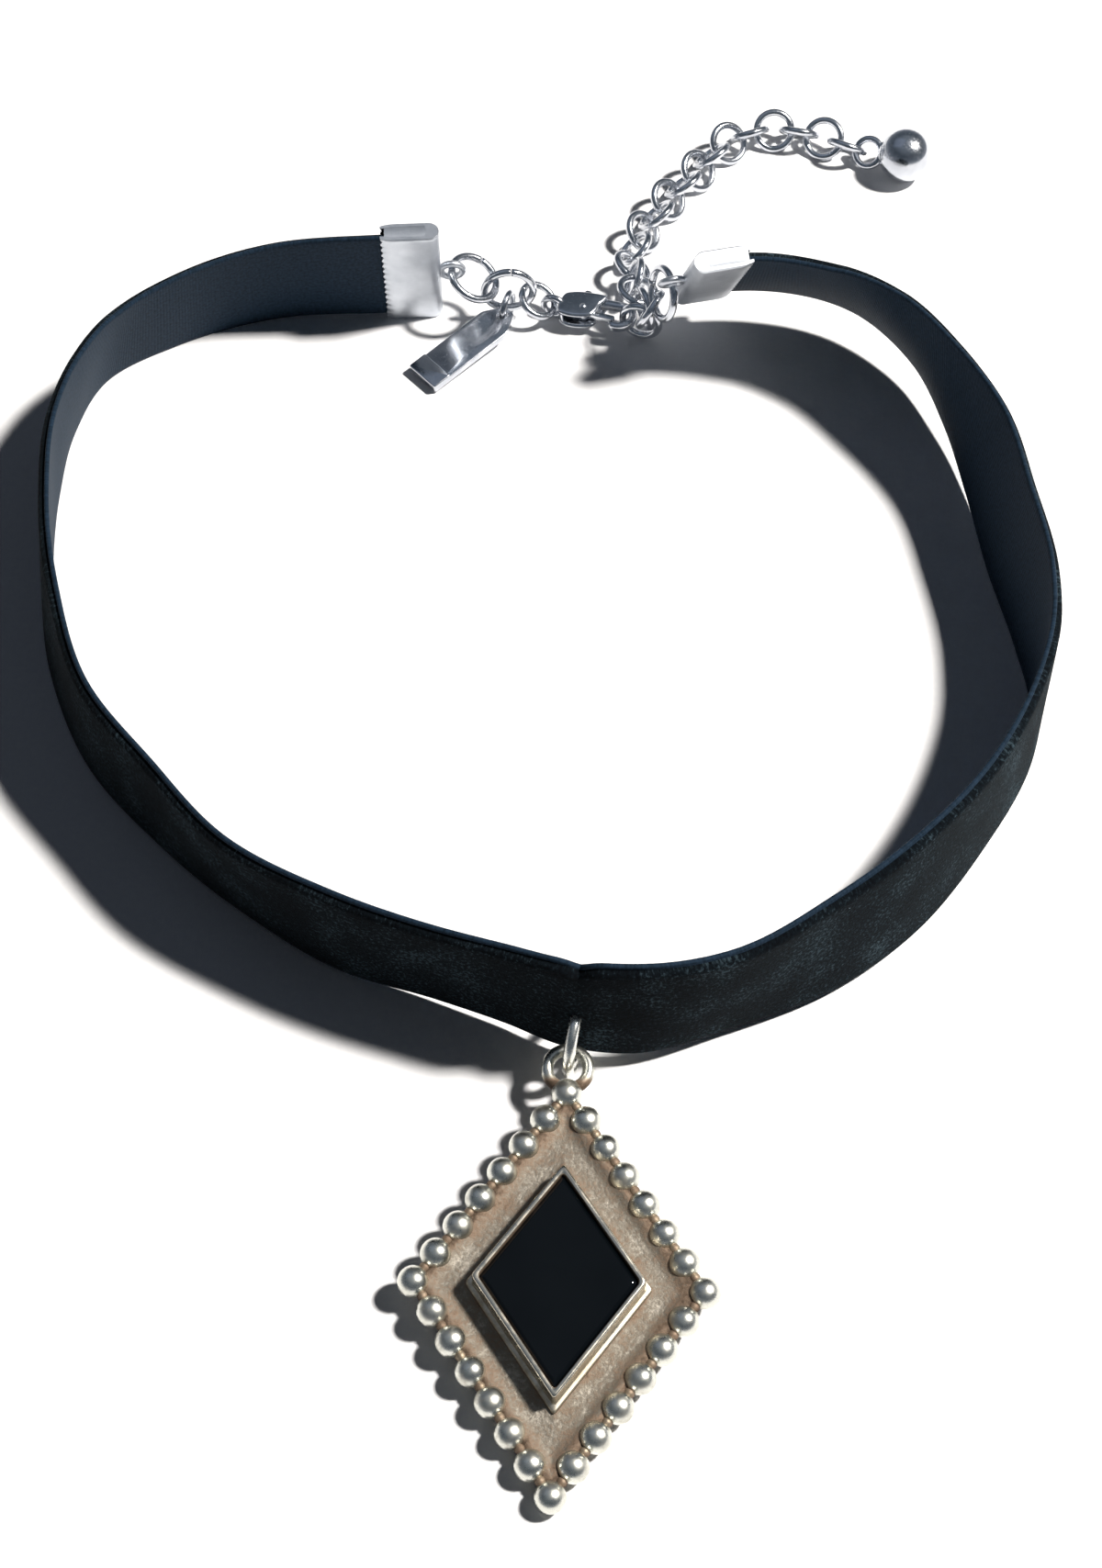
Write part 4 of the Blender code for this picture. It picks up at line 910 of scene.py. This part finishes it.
# %% Build the plate
PENDANT_PLACE = place_of(from_home(0.749, -58.617, 2.888), unit([0.99912, -0.04188, 0.0]),
                         unit([0.04178, 0.99673, 0.06915]))
HALF_WIDTH = 13.8 * MM
HALF_HEIGHT = 19.5 * MM
BEADS_PER_SIDE = 7
BEAD_RADIUS = 1.52 * MM
GRANULE_RADIUS = 0.55 * MM
PLATE_LOW = -1.10 * MM
PLATE_HIGH = 0.10 * MM
BEZEL_WIDTH = 8.3 * MM
BEZEL_TALL = 11.35 * MM
BEZEL_WALL = 0.55 * MM
BEZEL_HEIGHT = 2.8 * MM
BEZEL_STEP = 0.5 * MM
RIM = (HALF_WIDTH, HALF_HEIGHT)
BEZEL = (BEZEL_WIDTH, BEZEL_TALL)
PLATE_OVERHANG = 0.36 * MM
PLATE_CORNER = 1.2 * MM
PLATE_STEPS = 360
TOP_SHARE = 0.985
MIDDLE_SHARE = 0.004
SKIN_DEPTH = 0.012 * MM
SEED = 7
random = np.random.default_rng(SEED)


def lozenge(offset, half_width, half_height, corner=0.0, steps=5):
    """A lozenge whose sides lie further in by offset, with rounded corners."""
    share = 1.0 - offset * math.hypot(half_width, half_height) / (half_width * half_height)
    wide, tall = half_width * share, half_height * share
    corners = np.array([(wide, 0.0), (0.0, tall), (-wide, 0.0), (0.0, -tall)])
    return round_corners(corners, corner, steps) if corner > 0 else corners


def along_sides(outline, count):
    """The same closed outline with points evenly spaced along it."""
    closed = np.concatenate([outline, outline[:1]])
    keys = np.concatenate([[0.0], np.cumsum(np.linalg.norm(np.diff(closed, axis=0), axis=1))])
    wanted = np.linspace(0.0, keys[-1], count, endpoint=False)
    return np.stack([np.interp(wanted, keys, closed[:, k]) for k in (0, 1)], axis=1)


def bead_centres():
    """Beads on the lozenge's sides, evenly spaced, with one on each corner."""
    corners = lozenge(0.0, *RIM)
    share = (np.arange(BEADS_PER_SIDE) / BEADS_PER_SIDE)[None, :, None]
    sides = corners[:, None] + (np.roll(corners, -1, axis=0) - corners)[:, None] * share
    return sides.reshape(-1, 2)


def edge_distance(points, half_width, half_height):
    """How far inside a lozenge's nearest side each point lies; negative outside."""
    side = math.hypot(half_width, half_height)
    reach = np.abs(points[..., 0]) / half_width + np.abs(points[..., 1]) / half_height
    return (1.0 - reach) * half_width * half_height / side


def place_pendant(name, shape, material, patina, crisp=None):
    """A piece of the setting from a local shape, placed in the pendant's own directions."""
    return closed_piece(name, placed(shape, PENDANT_PLACE), material, "antique_silver",
                        "pendant_setting", crisp=crisp, patina=patina)


def fade(distance, width):
    """A share that falls off either side of zero as a bell of that width."""
    return np.exp(-(distance / width) ** 2)


def build_plate():
    """The cast ground: rows from the middle to a rounded rim and back underneath."""
    rim = along_sides(lozenge(-PLATE_OVERHANG, *RIM, PLATE_CORNER), PLATE_STEPS)
    top = rim * np.linspace(MIDDLE_SHARE, TOP_SHARE, 84)[:, None, None]
    skin = SKIN_DEPTH * random.standard_normal(top.shape[:2])
    skin = 0.5 * skin + 0.25 * (np.roll(skin, 1, axis=1) + np.roll(skin, -1, axis=1))
    to_beads = edge_distance(top, *RIM)
    to_bezel = -edge_distance(top, *BEZEL)
    rise = 0.35 * MM * fade(to_beads - 0.9 * MM, 0.8 * MM) + 0.12 * MM * fade(to_bezel, 0.7 * MM)
    turn = np.radians(np.linspace(80, -80, 7))
    edge, middle = 0.5 * (PLATE_HIGH - PLATE_LOW), 0.5 * (PLATE_HIGH + PLATE_LOW)
    rounded = rim * (TOP_SHARE + (1 - TOP_SHARE) * np.cos(turn))[:, None, None]
    side = np.broadcast_to((middle + edge * np.sin(turn))[:, None], rounded.shape[:2])
    under = rim * np.linspace(0.98, MIDDLE_SHARE, 12)[:, None, None]
    flat = np.concatenate([top, rounded, under])
    tall = np.concatenate([PLATE_HIGH + rise + skin, side, np.full(under.shape[:2], PLATE_LOW)])
    grid = np.concatenate([flat, tall[..., None]], axis=2)
    rim_depth = np.exp(-np.abs(edge_distance(flat, *RIM)) / (1.3 * MM))
    foot_depth = np.exp(-np.abs(edge_distance(flat, *BEZEL)) / (0.5 * MM))
    brown = np.where(tall < PLATE_LOW + 0.1 * MM, 0.5, 0.75 * rim_depth + 0.6 * foot_depth)
    return place_pendant("pendant_ground", shell(grid, close_rows=False), GROUND_SILVER, brown)


def build_beads():
    """Cast beads, each slightly its own size, and small granules in the valleys between them."""
    centres = bead_centres()
    between = 0.5 * (centres + np.roll(centres, -1, axis=0))
    pieces, depth = [], []
    for x, y in centres:
        radius = BEAD_RADIUS * (1 + 0.02 * random.uniform(-1, 1))
        points, faces = sphere((x, y, 0.0), radius, 26, 36, flatten=0.98)
        pieces.append((points, faces))
        reach = edge_distance(points[:, :2], *RIM)
        low = np.clip((0.55 * MM - points[:, 2]) / (1.3 * MM), 0, 1)
        inside = np.clip(reach / BEAD_RADIUS + 0.45, 0, 1)
        near = np.min(np.linalg.norm(points[:, None, :2] - between[None], axis=2), axis=1)
        valley = np.clip(1.2 - near / (0.8 * MM), 0, 1)
        depth.append(low * (0.45 * inside + 0.75 * valley))
    beads = place_pendant("pendant_beads", merge(pieces), BEAD_SILVER, np.concatenate(depth))
    grains = merge([sphere((x, y, 0.05 * MM), GRANULE_RADIUS, 14, 20) for x, y in between])
    brown = np.clip(0.95 - grains[0][:, 2] / (0.9 * MM), 0.5, 1)
    return beads, place_pendant("pendant_granules", grains, RIM_SILVER, brown)


def lozenge_rows(rows, corner):
    """A grid of the bezel's lozenge with rounded corners, one row for each (offset, height)."""
    offsets, heights = np.transpose(rows)
    flat = [lozenge(offset, *BEZEL, corner, 7) for offset in offsets]
    return raised(np.stack(flat), heights)


def build_bezel():
    """A strip of silver bent round the stone: a closed section carried round the lozenge."""
    low, top, wall = PLATE_HIGH, PLATE_HIGH + BEZEL_HEIGHT, BEZEL_WALL
    section = [
        (-BEZEL_STEP, low - 0.1 * MM), (-BEZEL_STEP, low + 0.30 * MM),
        (-0.44 * MM, low + 0.42 * MM), (-0.32 * MM, low + 0.48 * MM),
        (-0.06 * MM, low + 0.50 * MM), (0.0, low + 0.62 * MM), (0.0, top - 0.55 * MM),
        (0.02 * MM, top - 0.2 * MM), (0.08 * MM, top - 0.07 * MM), (0.18 * MM, top - 0.01 * MM),
        (0.30 * MM, top), (wall - 0.08 * MM, top - 0.03 * MM), (wall, top - 0.14 * MM),
        (wall, low - 0.1 * MM)]
    grid = lozenge_rows(section, 0.45 * MM)
    foot = np.clip((low + 0.9 * MM - grid[..., 2]) / (0.9 * MM), 0, 1)
    inner = (np.arange(len(section)) >= len(section) - 2)[:, None] * 0.6
    return place_pendant("pendant_bezel", shell(grid), RIM_SILVER, 0.75 * foot**2 + inner,
                         crisp=38)


LOOP_PLACE = HALF_HEIGHT + 2.65 * MM
LOOP_RADIUS = 2.05 * MM
LOOP_WIRE = 1.25 * MM


def build_loop():
    """The soldered loop above the top bead, of round wire."""
    place = (LOOP_PLACE * Y_AXIS, X_AXIS, Y_AXIS, Z_AXIS)
    points, faces = shell(torus_grid(place, LOOP_RADIUS, LOOP_WIRE))
    near_bead = np.clip((HALF_HEIGHT + 1.9 * MM - points[:, 1]) / (1.0 * MM), 0, 1)
    return place_pendant("pendant_loop", (points, faces), BEAD_SILVER,
                         0.8 * near_bead + 0.3 * (points[:, 2] < 0))


setting_pieces = [build_plate(), *build_beads(), build_bezel(), build_loop()]
print("beads:", len(bead_centres()), "faces in the plate:", len(setting_pieces[0].data.polygons))

# %% [markdown]
# Onyx
#
# Black onyx is dyed chalcedony, cut flat with a narrow bevel and polished on felt, so it shows
# a sharp reflection and nothing inside. Its index of refraction is about 1.54, and a little
# dust lies on it.

# %% Cut the stone
STONE_GAP = 0.10 * MM
STONE_BELOW_RIM = 0.25 * MM
STONE_BEVEL = 0.35 * MM


def polished_onyx():
    """Opaque black onyx with a mirror polish and a trace of dust."""
    material, tree, shader = start_material("polished_black_onyx", IOR=1.54,
                                            Specular_IOR_Level=0.35)
    place = add(tree, "TexCoord").outputs["Object"]
    cloud = add(tree, "TexNoise", Vector=place, Scale=1 / (6.0 * MM), Detail=2.0)
    dust = add(tree, "TexNoise", Vector=place, Scale=1 / (0.35 * MM), Detail=3.0)
    shade = ramp(tree, cloud, (0.3, "#020406"), (0.8, "#05080b"))
    polish = ramp(tree, dust, (0.55, 0.04), (0.85, 0.14))
    feed(shader, Base_Color=shade, Roughness=polish)
    return material


def build_stone():
    """Rows of the lozenge: girdle, bevel and a table that is crowned by a few hundredths."""
    inset, top = BEZEL_WALL + STONE_GAP, PLATE_HIGH + BEZEL_HEIGHT - STONE_BELOW_RIM
    rows = [(inset, PLATE_HIGH + STONE_GAP), (inset, top - 0.6 * STONE_BEVEL),
            (inset + 0.05 * MM, top - 0.5 * STONE_BEVEL),
            (inset + STONE_BEVEL, top - 0.03 * MM), (inset + STONE_BEVEL + 0.08 * MM, top)]
    shape = placed(shell(lozenge_rows(rows, 0.3 * MM), close_rows=False), PENDANT_PLACE)
    closed_piece("onyx_lozenge", shape, polished_onyx(), "onyx", "pendant_stone", crisp=12)


build_stone()
print("stone in mm:", round(2 * (BEZEL_WIDTH - BEZEL_WALL) / MM, 1), "by",
      round(2 * (BEZEL_TALL - BEZEL_WALL) / MM, 1))

# %% [markdown]
# Surface and light
#
# The choker lies on plain white board. One bright window-like lamp from the right makes the
# crisp shadows, and a dim surrounding light keeps them dark blue-grey. Metal needs something to
# reflect, so the surroundings are bright near the horizon, darker above it and lighter again
# overhead. They are dimmer for matt surfaces than for mirror reflections, as a small bright
# room would be.

# %% Lay the floor and place the lights
def white_board():
    """Matt white card with a barely visible tooth."""
    material, tree, shader = start_material("matt_white_card", Roughness=0.85)
    place = add(tree, "TexCoord").outputs["Object"]
    tooth = add(tree, "TexNoise", Vector=place, Scale=1 / (0.8 * MM), Detail=3.0)
    shade = ramp(tree, tooth, (0.2, "#f3f4f7"), (0.8, "#fafbfc"))
    feed(shader, Base_Color=shade)
    return material


FLOOR_REACH = 1.2
corners = np.array([(-1, -1, 0), (1, -1, 0), (1, 1, 0), (-1, 1, 0)]) * FLOOR_REACH
floor = make_piece("white_board", corners, [[0, 1, 2, 3]], [white_board()], smooth=False)

LAMP_AZIMUTH = math.radians(8)
LAMP_ELEVATION = math.radians(54)
LAMP_DISTANCE = 0.9
toward = np.array([math.cos(LAMP_AZIMUTH) * math.cos(LAMP_ELEVATION),
                   math.sin(LAMP_AZIMUTH) * math.cos(LAMP_ELEVATION), math.sin(LAMP_ELEVATION)])


def area_lamp(name, place, size, watts, shade):
    """A square lamp at a place, turned to the middle of the part."""
    data = bpy.data.lights.new(name, "AREA")
    data.size, data.energy, data.color = size, watts, colour(shade)[:3]
    lamp = bpy.data.objects.new(name, data)
    lamp.rotation_euler = Vector(-np.asarray(place)).to_track_quat("-Z", "Y").to_euler()
    lamp.location = place
    bpy.context.scene.collection.objects.link(lamp)


area_lamp("window_lamp", toward * LAMP_DISTANCE, 0.09, 15.0, "#fffaf4")
area_lamp("soft_fill", (-0.35, 0.25, 0.7), 0.6, 0.12, "#cfdcff")

world = bpy.data.worlds.new("pale_room")
world.use_nodes = True
sky = world.node_tree
height = add(sky, "SeparateXYZ", Vector=add(sky, "TexCoord").outputs["Generated"])
band = ramp(sky, height.outputs["Z"], (0.0, "#c4cad4"), (0.3, "#79828e"), (0.6, "#5f6a75"),
            (1.0, "#98a3b0"))
rays = add(sky, "LightPath")
strength = add(sky, "MapRange", Value=rays.outputs["Is Diffuse Ray"], To_Min=0.55, To_Max=0.07)
feed(sky.nodes["Background"], Color=band, Strength=strength)
bpy.context.scene.world = world
bpy.context.scene.view_settings.view_transform = "Standard"
print("lamps: 2, floor half width in m:", FLOOR_REACH)
